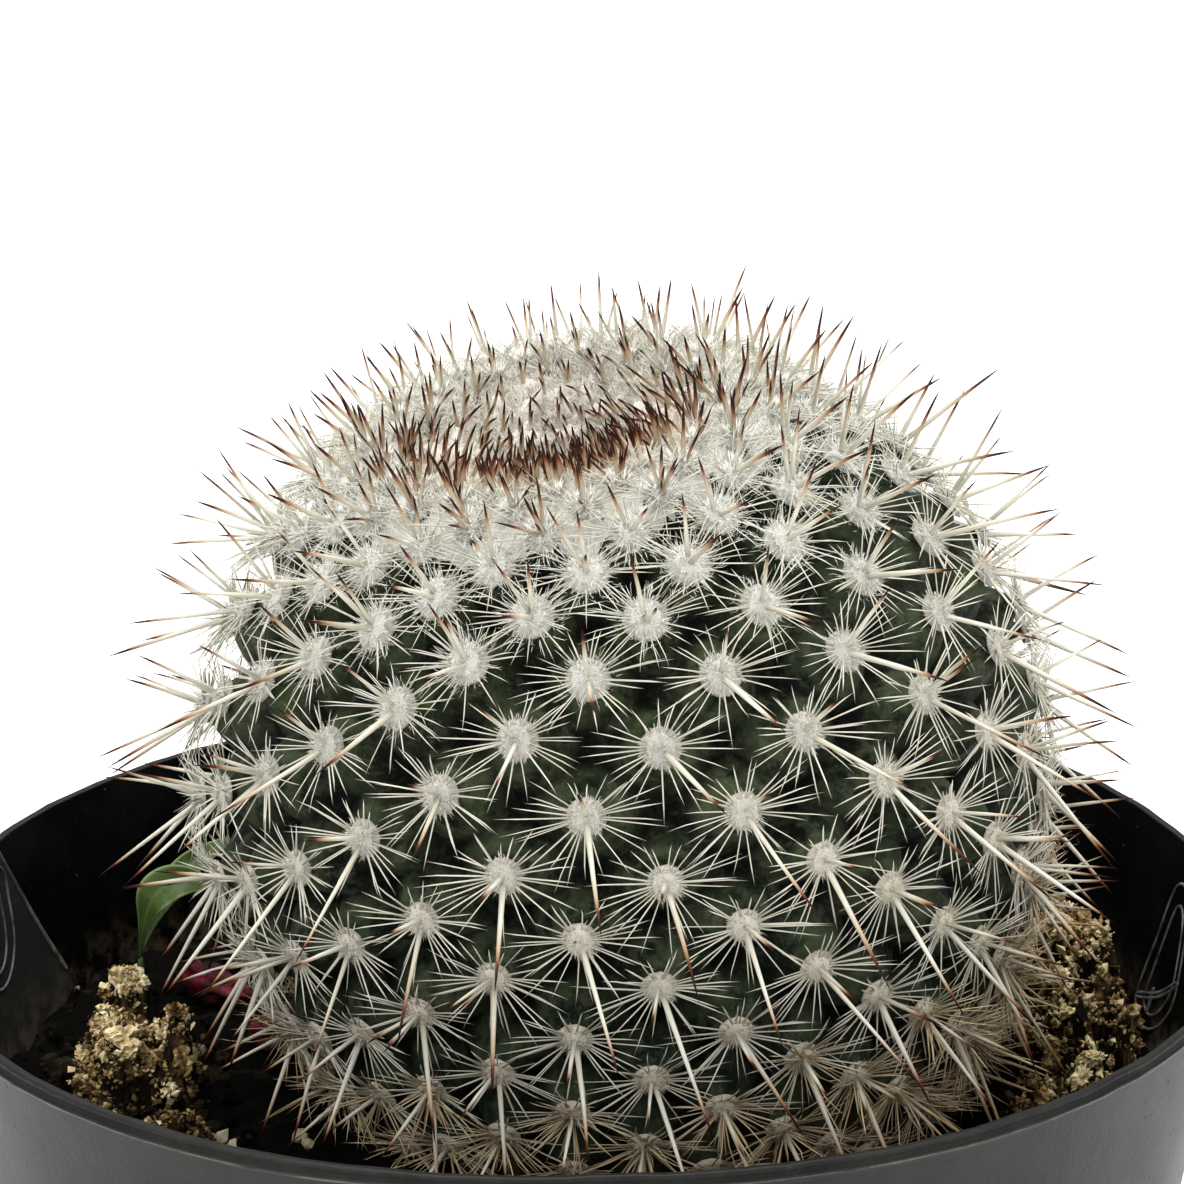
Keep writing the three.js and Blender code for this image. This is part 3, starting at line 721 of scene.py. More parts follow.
def central_spines(tips, random):
    """The long stout spines: one that leans down and one or two that stand up from each areole.

    The crown's far side carries fewer of them than its near side. A group of spines is a mask of the
    areoles, tilts, turns, lengths, a radius, and how much further out the brown starts.
    """
    row = tips.row
    count = len(row)
    mature = smoothstep(row, -2, 6)
    behind = smoothstep(tips.point[:, 1], -5, 4) * (1 - smoothstep(row, -5, -2))
    far = smoothstep(tips.point[:, 1], 2, 14) * (1 - smoothstep(row, 0, 4))
    lengths = [2.0, 3.0, 3.8, 4.7, 5.8, 7.4, 9.4, 10.2, 9.2]
    grown = np.interp(row, [-30, -12, -7, -4, -2, 0, 3, 7, 13], lengths)

    def varied(deviation):
        return random.normal(0, deviation, count)

    def some(chance):
        return random.uniform(0, 1, count) < chance

    lower_tilt = np.radians(12 + 34 * mature - 8 * smoothstep(row, 10, 16) + varied(5))
    groups = [(row > -9, lower_tilt, varied(0.22), grown, 0.235, 0.0)]
    upper_tilt = np.radians(24 - 10 * mature + varied(5))
    side = np.where(np.arange(count) % 2, 0.5, -0.5) * (1 - 0.4 * mature)
    upper_length = grown * (0.95 - 0.25 * mature)
    groups.append((row > -14, upper_tilt, np.pi + side + varied(0.2), upper_length, 0.2, 0.0))
    second = some(0.5 - 0.3 * mature - 0.4 * behind) & (row > -7)
    groups.append((second, upper_tilt + 0.1, np.pi - side + varied(0.25), upper_length, 0.19, 0.0))
    crown = some((0.2 + 0.5 * smoothstep(row, -28, -14)) * (1 - 0.4 * behind)) & (row < -4)
    around = random.uniform(0, FULL_TURN, count)
    groups.append((crown, np.radians(random.uniform(4, 24, count)), around, grown * 0.9, 0.19, 0.0))
    near = (row < -2.2) & (row > -7) & (tips.point[:, 1] < -3)
    for tilt in (8, 20, 34):
        around = random.uniform(0, FULL_TURN, count)
        groups.append((near & some(0.8), np.radians(tilt + varied(5)), around, grown * 0.8, 0.18, -0.15))

    parts = []
    for chosen, tilt, turn, length, radius, brown_shift in groups:
        surface = tips.pick(chosen)
        young = 1 - smoothstep(surface.row, -8, 0)
        number = len(surface.row)
        tilt = tilt[chosen] * (1 - 0.25 * young) + np.radians(random.normal(0, 7, number)) * young
        direction = surface.towards(tilt, turn[chosen])
        start = surface.point + direction * 0.1 - surface.out * 0.3
        length = length[chosen] * random.uniform(0.82 - 0.27 * young, 1.14, number)
        radius = radius * random.uniform(0.85, 1.12, number) * (1 - 0.2 * young) * (1 - 0.2 * far[chosen])
        bend = direction[:, [1, 2, 0]] * random.normal(0, 0.22, (number, 1)) - [0, 0, 0.15]
        brown = np.interp(surface.row, [-12, -6, -3.5, -1, 4], [0.24, 0.36, 0.48, 0.60, 0.66])
        brown = brown + brown_shift + 0.16 * behind[chosen] + 0.1 * far[chosen]
        brown = brown + random.normal(0, 0.07, number)
        age = smoothstep(surface.row, 13, 17.5)
        parts.append((start, direction, length, radius, bend, age, random.uniform(0, 1, number), brown))
    *shape, age, tint, brown = (np.concatenate(column) for column in zip(*parts))
    return spines(shape, 5, 4, 0.52, age, tint, brown)


def dead_spines(tips, random):
    """The tangle of old bent spines round the foot of the plant."""
    surface = tips.pick(tips.row > 11.8).repeat(DEAD_SPINES)
    count = len(surface.row)
    turn = random.uniform(0, FULL_TURN, count)
    direction = surface.towards(random.uniform(0.5, 1.5, count), turn)
    start = surface.point + surface.out * random.uniform(-0.6, 0.4, (count, 1))
    bend = random.normal(0, 0.8, (count, 3))
    radius = random.uniform(0.06, 0.12, count)
    shape = (start, direction, random.uniform(2.5, 5.5, count), radius, bend)
    age = random.uniform(0.75, 1.2, count)
    return spines(shape, 3, 3, 0.6, age, random.uniform(0, 1, count))


def wool_shares(row, points):
    """The row of each point, and how beige the wool is: most in the near half of the crown's pit."""
    behind = smoothstep(points[:, 1], -8, 0)
    return {"row": row, "beige": (1 - smoothstep(row, -8, -3.5)) * (1 - 0.55 * behind)}


def wool_radius(surface):
    """The areole's felt disc: 2.5 mm across on the body, wider near the crown, narrow in the crown."""
    spacing = 6.9 * surface.size**1.4
    return np.minimum(1.25 + 0.35 * (1 - smoothstep(surface.row, 0, 8)), 0.5 * spacing)


def areole_hairs(tips, random):
    """Short felted hairs that stand out of each cushion on all sides, most of them on the upper ones."""
    share = 1 - 0.3 * smoothstep(tips.row, 3, 8) - 0.35 * smoothstep(tips.row, 12, 16)
    surface = tips.repeat((AREOLE_HAIRS * share).astype(int))
    count = len(surface.row)
    turn = random.uniform(0, FULL_TURN, count)
    spread = random.uniform(0, 1, count) ** 0.55
    direction = surface.towards(spread * 1.35 + random.normal(0, 0.2, count), turn)
    radius = wool_radius(surface)
    start = surface.point + surface.along(turn) * (radius * spread)[:, None]
    start = start + surface.out * (0.4 * radius * (1 - spread**2) - 0.08)[:, None]
    young = 1 - smoothstep(surface.row, -4, 2)
    length = random.uniform(0.2, 0.45, count) * (1 + 1.3 * young * (1 - near_pit(surface)))
    bend = random.normal(0, 0.12, (count, 3))
    thickness = random.uniform(0.028, 0.05, count)
    points, faces, _ = needles(start, direction, length, thickness, bend, 3, 1)
    return points, faces, wool_shares(per_point(surface.row, points), points)


def crown_hairs(tips, total, long, random):
    """The wool of the youngest areoles, which fills the crown between the spines: long curls or fuzz."""
    chosen = tips.pick(tips.row < 2.5)
    weight = chosen.size**1.4 * (1 - 0.75 * smoothstep(chosen.row, -1, 2.5)) * (1 - 0.4 * near_pit(chosen))
    weight = weight * (1 + 3 * (1 - smoothstep(chosen.row, -8, -4)) * smoothstep(chosen.point[:, 1], -6, -2))
    surface = chosen.pick(random.choice(len(weight), total, p=weight / weight.sum()))
    young = 1 - smoothstep(surface.row, -8, 2)
    turn = random.uniform(0, FULL_TURN, total)
    direction = surface.towards(random.uniform(0.0, 1.45, total), turn)
    spread = (1.3 + 0.9 * young) * wool_radius(surface) * random.uniform(0, 1, total) ** 0.6
    sunk = surface.out * random.uniform(0.1, 0.5, (total, 1))
    start = surface.point + surface.along(turn) * spread[:, None] - sunk
    shortened = 1 - 0.65 * near_pit(surface) - 0.2 * (1 - smoothstep(surface.row, -9, -5))
    length = random.uniform(0.6, 1.5, total) * (1.25 if long else 0.75) * np.maximum(shortened, 0.3)
    bend = random.normal(0, 0.45 if long else 0.1, (total, 3))
    thickness = random.uniform(0.022, 0.045, total)
    points, faces, _ = needles(start, direction, length, thickness, bend, 3, 2 if long else 1, 0.4)
    return points, faces, wool_shares(per_point(surface.row, points), points)


# Materials


def skin_material():
    """Dark mottled green, fresher in the crown and brown at the foot. Painted shade makes the valleys nearly
    black, and painted highlights lighten noisy patches on the tubercles' tips.
    """
    graph = Graph("cactus_skin")
    sink = graph.attribute("sink")
    row = graph.attribute("row")
    mottle = graph.noise(420.0, 6.0, 0.65).between(0.42, 0.60)
    # fresh: lighter green in noisy patches on the tubercles' tips, partly the skin's own green and partly a
    # painted highlight
    fresh = graph.noise(330.0, 2.0).between(0.58, 0.68) * (1.0 - sink)
    # pale grey specks kept off the valleys: partly scurf and partly painted light where the tips catch it
    scurf_and_lit_patches = graph.noise(700.0, 10.0, 0.8).between(0.50, 0.60) * 0.6 * (1.0 - 0.8 * sink)
    colour = graph.paint(
        graph.mix(mottle, (0.0025, 0.005, 0.002), (0.066, 0.087, 0.042)),
        (row.between(6.0, 15.0) * 0.4, (0.022, 0.048, 0.034)),
        ((-row).between(-6.0, 2.0) * 0.4, (0.030, 0.052, 0.014)),
        (fresh * 0.65, (0.062, 0.098, 0.020)),
        # painted shade: the valleys, where sink is high, turn nearly black
        (sink.between(0.4, 0.85) * 0.97, (0.0008, 0.0012, 0.0008)),
        (scurf_and_lit_patches, (0.150, 0.160, 0.110)),
        (row.between(14.5, 17.0) * 0.85, (0.085, 0.058, 0.030)),
    )
    return graph.finish(colour, 0.4 + 0.25 * mottle, 0.12, graph.noise(900.0, 10.0, 0.8), 0.5)


def spine_material():
    """Cream at the base, then tan, chestnut and nearly black at the tip, and grey brown where old.

    past is 0 where the brown starts and 1 at the tip.
    """
    graph = Graph("spines")
    past = graph.attribute("past")
    age = graph.attribute("age")
    tint = graph.attribute("tint")
    fresh = graph.paint(
        graph.mix(tint, (0.58, 0.55, 0.44), (0.72, 0.70, 0.60)),
        (past.between(-0.5, 0.15), (0.41, 0.28, 0.17)),
        (past.between(0.1, 0.4), (0.14, 0.034, 0.012)),
        (past.between(0.3, 0.6), (0.017, 0.0035, 0.0016)),
    )
    old = graph.mix(graph.noise(1200.0, 3.0), (0.34, 0.22, 0.10), (0.76, 0.60, 0.36))
    dead = graph.mix(tint, (0.30, 0.17, 0.075), (0.88, 0.71, 0.46))
    old = graph.mix(age.between(0.95, 1.0), old, dead)
    return graph.finish(graph.mix((age * 0.9).clamped(), fresh, old), 0.45, 0.12)


def wool_material(name, shade):
    """White wool, beige deep in the crown and cream near the plant's foot, darkened by painted shade to a
    share of shade.

    The low areoles are darkened less by this painted shade, as painted light in the shadow of those above.
    """
    graph = Graph(name)
    row = graph.attribute("row")
    grain = graph.noise(2600.0, 3.0)
    low = row.between(4.0, 12.0)
    colour = graph.paint(
        graph.mix(grain, (0.72, 0.70, 0.62), (0.82, 0.80, 0.73)),
        ((-row).between(-3.0, 0.0), (0.95, 0.94, 0.88)),
        (graph.attribute("beige") * 0.8, graph.mix(grain, (0.46, 0.385, 0.285), (0.68, 0.58, 0.44))),
        # cream near the foot: the old felt's own colour, kept pale as painted light for the shadow these
        # areoles stand in
        (low * 0.8, graph.mix(grain, (0.68, 0.60, 0.44), (0.86, 0.79, 0.63))),
        # painted shade: darkens this copy of the wool to a share of shade, less on the low areoles
        ((1.0 - shade) * (1.0 - 0.75 * low), (0.0, 0.0, 0.0)),
    )
    return graph.finish(colour, 0.95, 0.2)


def pot_material(name, gloss):
    """Black satin plastic with faint clouds of dust, and a pale line along the lip's lower edge that is
    partly scuffing and partly a painted highlight.
    """
    graph = Graph(name)
    speck = graph.noise(1400.0, 6.0).between(0.62, 0.75)
    cloud = graph.noise(90.0, 4.0).between(0.35, 0.75)
    mottle = graph.noise(380.0, 8.0, 0.7).between(0.35, 0.65)
    dust = cloud * 0.24 + mottle * 0.3 + speck * 0.5
    # pale band just under the lip: scuffs and a painted highlight along the edge
    edge = graph.height_between(POT_HEIGHT - 1.12, POT_HEIGHT - 1.0)
    edge = edge * (1.0 - graph.height_between(POT_HEIGHT - 0.9, POT_HEIGHT - 0.82))
    scuff_and_highlight = edge * graph.noise(300.0, 8.0, 0.7).between(0.36, 0.6)
    colour = graph.mix(dust * 0.17, (0.0055, 0.006, 0.0055), (0.15, 0.147, 0.125))
    colour = graph.mix(scuff_and_highlight * 0.65, colour, (0.15, 0.145, 0.13))
    return graph.finish(colour, 0.44 + 0.1 * cloud + 0.2 * speck, gloss, graph.noise(2200.0, 3.0), 0.03)


def pot_inside_material():
    """The dull inner wall, painted much darker than the outside as shade, with sparse specks of grit, painted
    light on the near side of a slanting plane, and brown dust just above the soil.
    """
    graph = Graph("pot_inside")
    speck = graph.noise(1100.0, 3.0).between(0.70, 0.76)
    cloud = graph.noise(150.0, 5.0).between(0.45, 0.8)
    # painted light: the wall is lighter on the near side of the slanting plane
    lit_side = graph.node("VectorMath", "Value", {0: graph.place(), 1: LIT_PLANE_NORMAL}, operation="DOT_PRODUCT")
    lit_side = 1.0 - lit_side.between((LIT_PLANE_DEPTH - 0.1) * MM, (LIT_PLANE_DEPTH + 0.1) * MM)
    near_soil = 1.0 - graph.height_between(SOIL_LEVEL - 1, SOIL_LEVEL + 5)
    dust = near_soil * graph.noise(420.0, 8.0, 0.7).between(0.45, 0.62)
    colour = graph.paint(
        # painted shade: the wall's black is much darker than the same plastic outside, and painted light
        # lifts the near side of the plane
        graph.mix(lit_side, (0.0006, 0.0006, 0.0006), (0.021, 0.022, 0.021)),
        (speck * 0.4 + cloud * 0.03, (0.17, 0.16, 0.14)),
        (dust * 0.8, (0.105, 0.078, 0.052)),
    )
    return graph.finish(colour, 0.6 + 0.3 * cloud, 0.04, graph.noise(900.0, 5.0), 0.06)


def rib_material():
    """The outlines on the inner wall, painted much lighter than the wall as a highlight along their edges,
    more in noisy patches.
    """
    graph = Graph("pot_ribs")
    # painted highlight: the ribs are lighter than the wall, most in noisy patches
    rib_highlight = graph.noise(700.0, 5.0).between(0.4, 0.65)
    return graph.finish(graph.mix(rib_highlight, (0.055, 0.057, 0.055), (0.20, 0.20, 0.19)), 0.5, 0.4)


def soil_material():
    """Nearly black soil. Crumbs with a tone above 0.25 are brown to tan."""
    graph = Graph("soil")
    tone = graph.attribute("tone")
    grain = graph.noise(1100.0, 8.0, 0.7)
    debris = graph.noise(240.0, 6.0, 0.65).between(0.56, 0.66)
    colour = graph.paint(
        graph.mix(grain.between(0.35, 0.7), (0.0005, 0.0004, 0.0003), (0.0030, 0.0023, 0.0015)),
        (debris * 0.5, (0.040, 0.034, 0.016)),
        (tone.between(0.25, 0.6), (0.050, 0.034, 0.018)),
        (tone.between(0.6, 1.0), (0.48, 0.42, 0.28)),
    )
    return graph.finish(colour, 0.95, 0.06, grain, 0.5)


def earth_material():
    """Dry earth by tone: dark, brown, ochre and cream from 0 to 1, and yellow green at 1.2."""
    graph = Graph("dry_earth")
    tone = graph.attribute("tone") + 0.3 * (graph.noise(1300.0, 8.0, 0.75) - 0.5)
    colour = graph.paint(
        graph.mix(tone.between(0.0, 0.3), (0.004, 0.0025, 0.0015), (0.10, 0.060, 0.024)),
        (tone.between(0.3, 0.58), (0.36, 0.25, 0.10)),
        (tone.between(0.58, 0.95), (0.80, 0.69, 0.43)),
        (tone.between(1.05, 1.2), (0.44, 0.43, 0.16)),
    )
    return graph.finish(colour, 0.95, 0.12, graph.noise(2000.0, 6.0, 0.7), 0.12)


def leaf_material():
    """Soft green with a pale midrib, darker low in the pot as painted shade, and pale edges as a painted
    highlight.
    """
    graph = Graph("leaf")
    vein = graph.attribute("vein")
    patch = graph.noise(420.0, 6.0, 0.65).between(0.3, 0.7)
    green = graph.mix(patch, (0.032, 0.062, 0.012), (0.105, 0.160, 0.036))
    # painted shade: darker low in the pot, below the rim
    low = 1.0 - graph.height_between(POT_HEIGHT - 9, POT_HEIGHT - 4)
    colour = graph.paint(
        graph.mix(vein.between(0.0, 0.14), (0.15, 0.22, 0.07), green),
        # painted highlight: the edges of the blade are paler
        (vein.between(0.75, 1.0) * 0.7, (0.26, 0.35, 0.14)),
        (low * 0.75, (0.016, 0.034, 0.008)),
    )
    return graph.finish(colour, 0.45, 0.35, graph.noise(2500.0, 4.0), 0.05)


def fruit_material():
    """Crimson skin, dark in patches, with painted pink highlights in a few spots."""
    graph = Graph("fruit")
    patch = graph.noise(520.0, 6.0, 0.7).between(0.38, 0.6)
    # painted highlight: small pink spots on the crimson skin
    highlight_spots = graph.noise(330.0, 5.0).between(0.60, 0.68)
    colour = graph.mix(patch, (0.125, 0.004, 0.014), (0.014, 0.001, 0.002))
    colour = graph.mix(highlight_spots * 0.3, colour, (0.40, 0.09, 0.11))
    return graph.finish(colour, 0.35 + 0.3 * patch, 0.2, graph.noise(900.0, 7.0, 0.7), 0.3)


def floor_material():
    """Nearly white, with a faint glow that keeps it pale away from the lights."""
    graph = Graph("floor")
    colour = graph.mix(graph.noise(4.0, 2.0), (0.90, 0.90, 0.90), (0.93, 0.93, 0.93))
    return graph.finish(colour, 0.9, 0.5, Emission_Color=(1.0, 1.0, 1.0), Emission_Strength=0.4)


# The pieces


def wall_radius(height):
    """The radius of the pot's outer wall, which widens evenly upwards."""
    top = RIM_RADIUS - LIP_OVERHANG
    return BASE_RADIUS + (top - BASE_RADIUS) * height / POT_HEIGHT


def inner_radius(height):
    return wall_radius(height) - WALL


def squeeze(points):
    """Pushes the soft pot's upper wall, and what lies near it, a little out of round.

    The push goes along the radius. It depends on the azimuth, grows with the height, and fades
    with the sixth power of the distance from the wall towards the middle.
    """
    azimuth = np.degrees(np.arctan2(points[:, 1], points[:, 0]))
    push = np.interp(azimuth, SQUEEZE_AZIMUTHS, SQUEEZE_PUSHES) * smoothstep(points[:, 2], 15, 76)
    reach = np.maximum(np.hypot(points[:, 0], points[:, 1]), 1e-6)
    push = push * np.clip(reach / wall_radius(points[:, 2]), 0, 1.02) ** 6
    return points + np.column_stack([points[:, :2] * (push / reach)[:, None], np.zeros(len(points))])


def arc(centre, radius, start, end, steps):
    """Points on an arc of a profile, with angles in degrees from straight out."""
    angles = np.radians(np.linspace(start, end, steps))
    return [(centre[0] + radius * np.cos(a), centre[1] + radius * np.sin(a)) for a in angles]


def pot_profile():
    """The pot's section, from the middle of the underside up the outside, over the lip and down inside."""
    lip_foot = POT_HEIGHT - LIP_DEPTH
    outside = [(wall_radius(h), h) for h in np.linspace(2, lip_foot - 0.5, 14)]
    inside = [(inner_radius(h), h) for h in np.linspace(POT_HEIGHT - 1.2, FLOOR + 0.8, 14)]
    return [
        (0, 0.6),
        (28, 0.6),
        (28.6, 0),
        *arc((BASE_RADIUS - 1, 1), 1, -90, 0, 5),
        *outside,
        (wall_radius(lip_foot) + 0.08, lip_foot - 0.1),
        *arc((RIM_RADIUS - 0.12, lip_foot + 0.12), 0.12, -90, 70, 5),
        (RIM_RADIUS - 0.24, lip_foot + 0.3),
        (RIM_RADIUS - 0.2, POT_HEIGHT - 0.46),
        (RIM_RADIUS - 0.3, POT_HEIGHT - 0.4),
        *arc((RIM_RADIUS - 0.52, POT_HEIGHT - 0.26), 0.26, 0, 90, 5),
        (RIM_RADIUS - 0.66, POT_HEIGHT - 0.05),
        *arc((RIM_RADIUS - LIP_WIDTH + 0.26, POT_HEIGHT - 0.27), 0.26, 90, 180, 5),
        *inside,
        *arc((inner_radius(FLOOR) - 0.8, FLOOR + 0.8), 0.8, 0, -90, 4),
        (0, FLOOR),
    ]


def with_drain_holes(points, faces):
    """The pot's mesh with its round drain holes cut."""
    rod, rod_faces = lathe([(0, -2), (DRAIN_HOLE_RADIUS, -2), (DRAIN_HOLE_RADIUS, 5), (0, 5)], 40)
    angles = np.arange(DRAIN_HOLES) * FULL_TURN / DRAIN_HOLES
    centres = [(DRAIN_CIRCLE_RADIUS * np.cos(a), DRAIN_CIRCLE_RADIUS * np.sin(a), 0) for a in angles]
    blank = new_object("pot_blank", points * MM, faces)
    rods, rod_faces = join_meshes([(rod + centre, rod_faces) for centre in centres])
    cutter = new_object("drain_cutter", rods * MM, rod_faces)
    cut = blank.modifiers.new("drains", "BOOLEAN")
    cut.operation = "DIFFERENCE"
    cut.solver = "EXACT"
    cut.object = cutter
    result = bpy.data.meshes.new_from_object(blank.evaluated_get(bpy.context.evaluated_depsgraph_get()))
    result.calc_loop_triangles()
    points = np.array([v.co[:] for v in result.vertices]) / MM
    faces = np.array([t.vertices[:] for t in result.loop_triangles])
    for item in (blank, cutter):
        bpy.data.objects.remove(item)
    return points, faces


def smooth_loop(corners, steps=12):
    """A closed curve through the corners: each new point is a Catmull-Rom blend of four corners."""
    corners = np.array(corners, float)
    t = (np.arange(steps) / steps)[:, None, None]
    before, start, end, after = (np.roll(corners, shift, 0)[None] for shift in (1, 0, -1, -2))
    curve = 2 * start + (end - before) * t + (2 * before - 5 * start + 4 * end - after) * t**2
    curve = (curve + (3 * start - before - 3 * end + after) * t**3) / 2
    return curve.transpose(1, 0, 2).reshape(-1, 2)


def wall_tube(loop, sides=8):
    """A closed rib that follows a loop of (azimuth in degrees, height from the rim) on the inner wall."""
    azimuths, heights = (smooth_loop(loop) + [0, POT_HEIGHT]).T
    azimuths = np.radians(azimuths)
    reach = inner_radius(heights) + RIB_RADIUS * 0.2
    centre = np.column_stack([reach * np.cos(azimuths), reach * np.sin(azimuths), heights])
    along = normalised(np.roll(centre, -1, 0) - np.roll(centre, 1, 0))
    inward = -np.column_stack([np.cos(azimuths), np.sin(azimuths), np.full(len(azimuths), -0.19)])
    across = normalised(np.cross(along, inward))
    points = centre[:, None] + RIB_RADIUS * wheel(across, np.cross(across, along), sides)
    return points.reshape(-1, 3), ring_faces(len(centre), sides, closed=True)


def build_pot():
    """The pot's shell with its worn lip, its three finishes, and the ribs on its inner wall."""
    points, faces = with_drain_holes(*lathe(pot_profile(), POT_SIDES))
    near_rim = smoothstep(points[:, 2], POT_HEIGHT - 1.6, POT_HEIGHT - 0.8)
    worn = 0.09 * rough_noise(points, 2.6, 31, 3) * near_rim
    plastic = pot_material("pot_plastic", 0.18)
    worn_points = squeeze(points - [0, 0, 1] * worn[:, None])
    shell = add_piece("pot_shell", worn_points, faces, {}, plastic, "pot_plastic", "pot")
    shell.data.materials.append(pot_inside_material())
    shell.data.materials.append(pot_material("pot_lip", 0.1))
    corners = points[faces]
    centres = corners.mean(1)
    height = centres[:, 2]
    inside = np.hypot(centres[:, 0], centres[:, 1]) < wall_radius(height) - WALL * 0.6
    inside &= (height > FLOOR - 0.1) & (corners[:, :, 2].max(1) < POT_HEIGHT - 0.08)
    groove = ~inside & (height > POT_HEIGHT - 0.75) & (height < POT_HEIGHT - 0.2)
    shell.data.polygons.foreach_set("material_index", (inside + 2 * groove).astype(np.int32))
    points, faces = join_meshes([wall_tube(loop) for loop in WALL_LOOPS])
    add_piece("pot_wall_ribs", squeeze(points), faces, {}, rib_material(), "pot_plastic")


def soil_height(x, y):
    """The soil's level at a place: two long waves and a slight fall to the right."""
    swell = 0.5 * np.sin(0.21 * x + 1.3) * np.cos(0.17 * y)
    ripple = 0.4 * np.sin(0.13 * x - 0.29 * y + 0.5)
    return SOIL_LEVEL + swell + ripple - SOIL_SLOPE * x


def build_soil(random):
    """The soil's rough surface with a skirt below it, and crumbs strewn over it."""
    material = soil_material()
    radii = np.linspace(0, inner_radius(SOIL_LEVEL) - SOIL_GAP, 64)[1:]
    rings = circles(radii, np.zeros(len(radii)), 200)
    x, y, _ = rings.reshape(-1, 3).T
    rough = flat_noise(x, y, 3.2, 4, 5) + 0.5 * np.abs(flat_noise(x, y, 1.4, 9, 3))
    top = np.column_stack([x, y, soil_height(x, y) + rough * 0.8 - 0.3]).reshape(rings.shape)
    skirt = rings[-1:] + [0, 0, SKIRT_LEVEL]
    points, faces = capped((0, 0, SOIL_LEVEL), np.concatenate([top, skirt]), (0, 0, SKIRT_LEVEL))
    add_piece("soil_surface", squeeze(points), faces[:, ::-1], {}, material, "soil", "soil")

    reach = np.sqrt(random.uniform(0.35, 1, SOIL_CRUMBS)) * CRUMB_REACH
    angle = random.uniform(0, FULL_TURN, SOIL_CRUMBS)
    x, y = reach * np.cos(angle), reach * np.sin(angle)
    sizes = 0.18 + 0.55 * random.uniform(0, 1, SOIL_CRUMBS) ** 3
    tone = random.uniform(0, 0.45, SOIL_CRUMBS) + 0.45 * (random.uniform(0, 1, SOIL_CRUMBS) > 0.97)
    pale = slice(len(PALE_BITS))
    x[pale], y[pale], sizes[pale] = np.array(PALE_BITS).T
    tone[pale] = 1.0
    centres = np.column_stack([x, y, soil_height(x, y) + 0.45 * random.uniform(0, 1, SOIL_CRUMBS)])
    points, faces = crumbs(centres, sizes, 1, random)
    shares = {"tone": per_point(tone, points)}
    add_piece("soil_crumbs", squeeze(points), faces, shares, material, "soil", smooth=False)


def crevices(x, y):
    """How deep the gaps between a heap's lumps are at a place, from 0 to 1."""
    return smoothstep(flat_noise(x, y, 2.6, 17, 3), 0.08, 0.5)


def mound_height(x, y, mounds):
    """How far the heap rises above the soil: the highest of its mounds, less the crevices."""
    height = np.zeros(len(x))
    for centre_x, centre_y, half_x, half_y, rise in mounds:
        away = np.hypot((x - centre_x) / half_x, (y - centre_y) / half_y)
        height = np.maximum(height, rise * np.clip(1 - away**2.2, 0, 1))
    lumps = 0.9 * flat_noise(x, y, 2.4, 6, 2) + 0.5 * np.abs(flat_noise(x, y, 0.9, 3, 2))
    lumps = lumps - 2.6 * crevices(x, y)
    near_wall = np.hypot(x, y) > inner_radius(SOIL_LEVEL) - 0.4
    return np.where(near_wall, 0, height + lumps * np.clip(height / 2, 0, 1))


def mound_skin(low, high, mounds, columns=60, rows=110):
    """The body of a heap, coloured dark elsewhere as painted shade: a rough sheet over the mounds, closed by
    a point far below them.
    """
    across = np.linspace(low[0], high[0], columns)
    x, y = (grid.ravel() for grid in np.meshgrid(across, np.linspace(low[1], high[1], rows), indexing="ij"))
    z = soil_height(x, y) - 1.2 + mound_height(x, y, mounds)
    inside = np.minimum(1, (inner_radius(SOIL_LEVEL - 2) - 0.6) / np.hypot(x, y))
    points = np.column_stack([x * inside, y * inside, z])
    quads, border = sheet_faces(np.arange(len(points)).reshape(columns, rows))
    sides = np.column_stack([np.roll(border, -1), border, np.full(len(border), len(points))])
    bottom = [*points[:, :2].mean(0), SKIRT_LEVEL]
    return np.concatenate([points, [bottom]]), np.concatenate([triangles(quads), sides])


def heap_clumps(mounds, low, high, total, random):
    """Places, radii and tones of a heap's clumps: scattered over the mounds, the small ones many."""
    x = random.uniform(low[0], high[0], 6 * total)
    y = random.uniform(low[1], high[1], 6 * total)
    height = mound_height(x, y, mounds)
    chosen = np.flatnonzero(height > 0.8)[:total]
    x, y, height = x[chosen], y[chosen], height[chosen]
    radius = 0.4 + 0.9 * random.uniform(0, 1, total) ** 2.5
    level = soil_height(x, y) - 1.1 + height + radius * random.uniform(-0.6, 0.5, total)
    # painted light and shade: the tone rises with the height on the mound and falls in the crevices, besides
    # its random part
    tone = 0.10 + 0.05 * height + random.normal(0.12, 0.2, total) - 0.5 * crevices(x, y)
    return np.column_stack([x, y, level]), radius, np.clip(tone, 0, 0.8)


def heap_lumps(spots, radius, tone, peaks, random):
    """The small lumps and the large ones of a heap, with the tone of each point."""
    peaks = np.array(peaks) + [0, 0, SOIL_LEVEL, 0, 0]
    small = crumbs(spots, 0.25 + 0.45 * radius, 3, random, roughness=0.75, flatness=0.8, detail=2.8)
    large = crumbs(peaks[:, :3], 0.9 * peaks[:, 3], 4, random, roughness=0.6, flatness=0.85, detail=3.6)
    points, faces = join_meshes([small, large])
    tone = np.concatenate([per_point(tone, small[0]), per_point(peaks[:, 4], large[0])]) + 0.08
    return points, faces, np.clip(tone + 0.4 * rough_noise(points, 0.5, 41, 3), 0, 1)


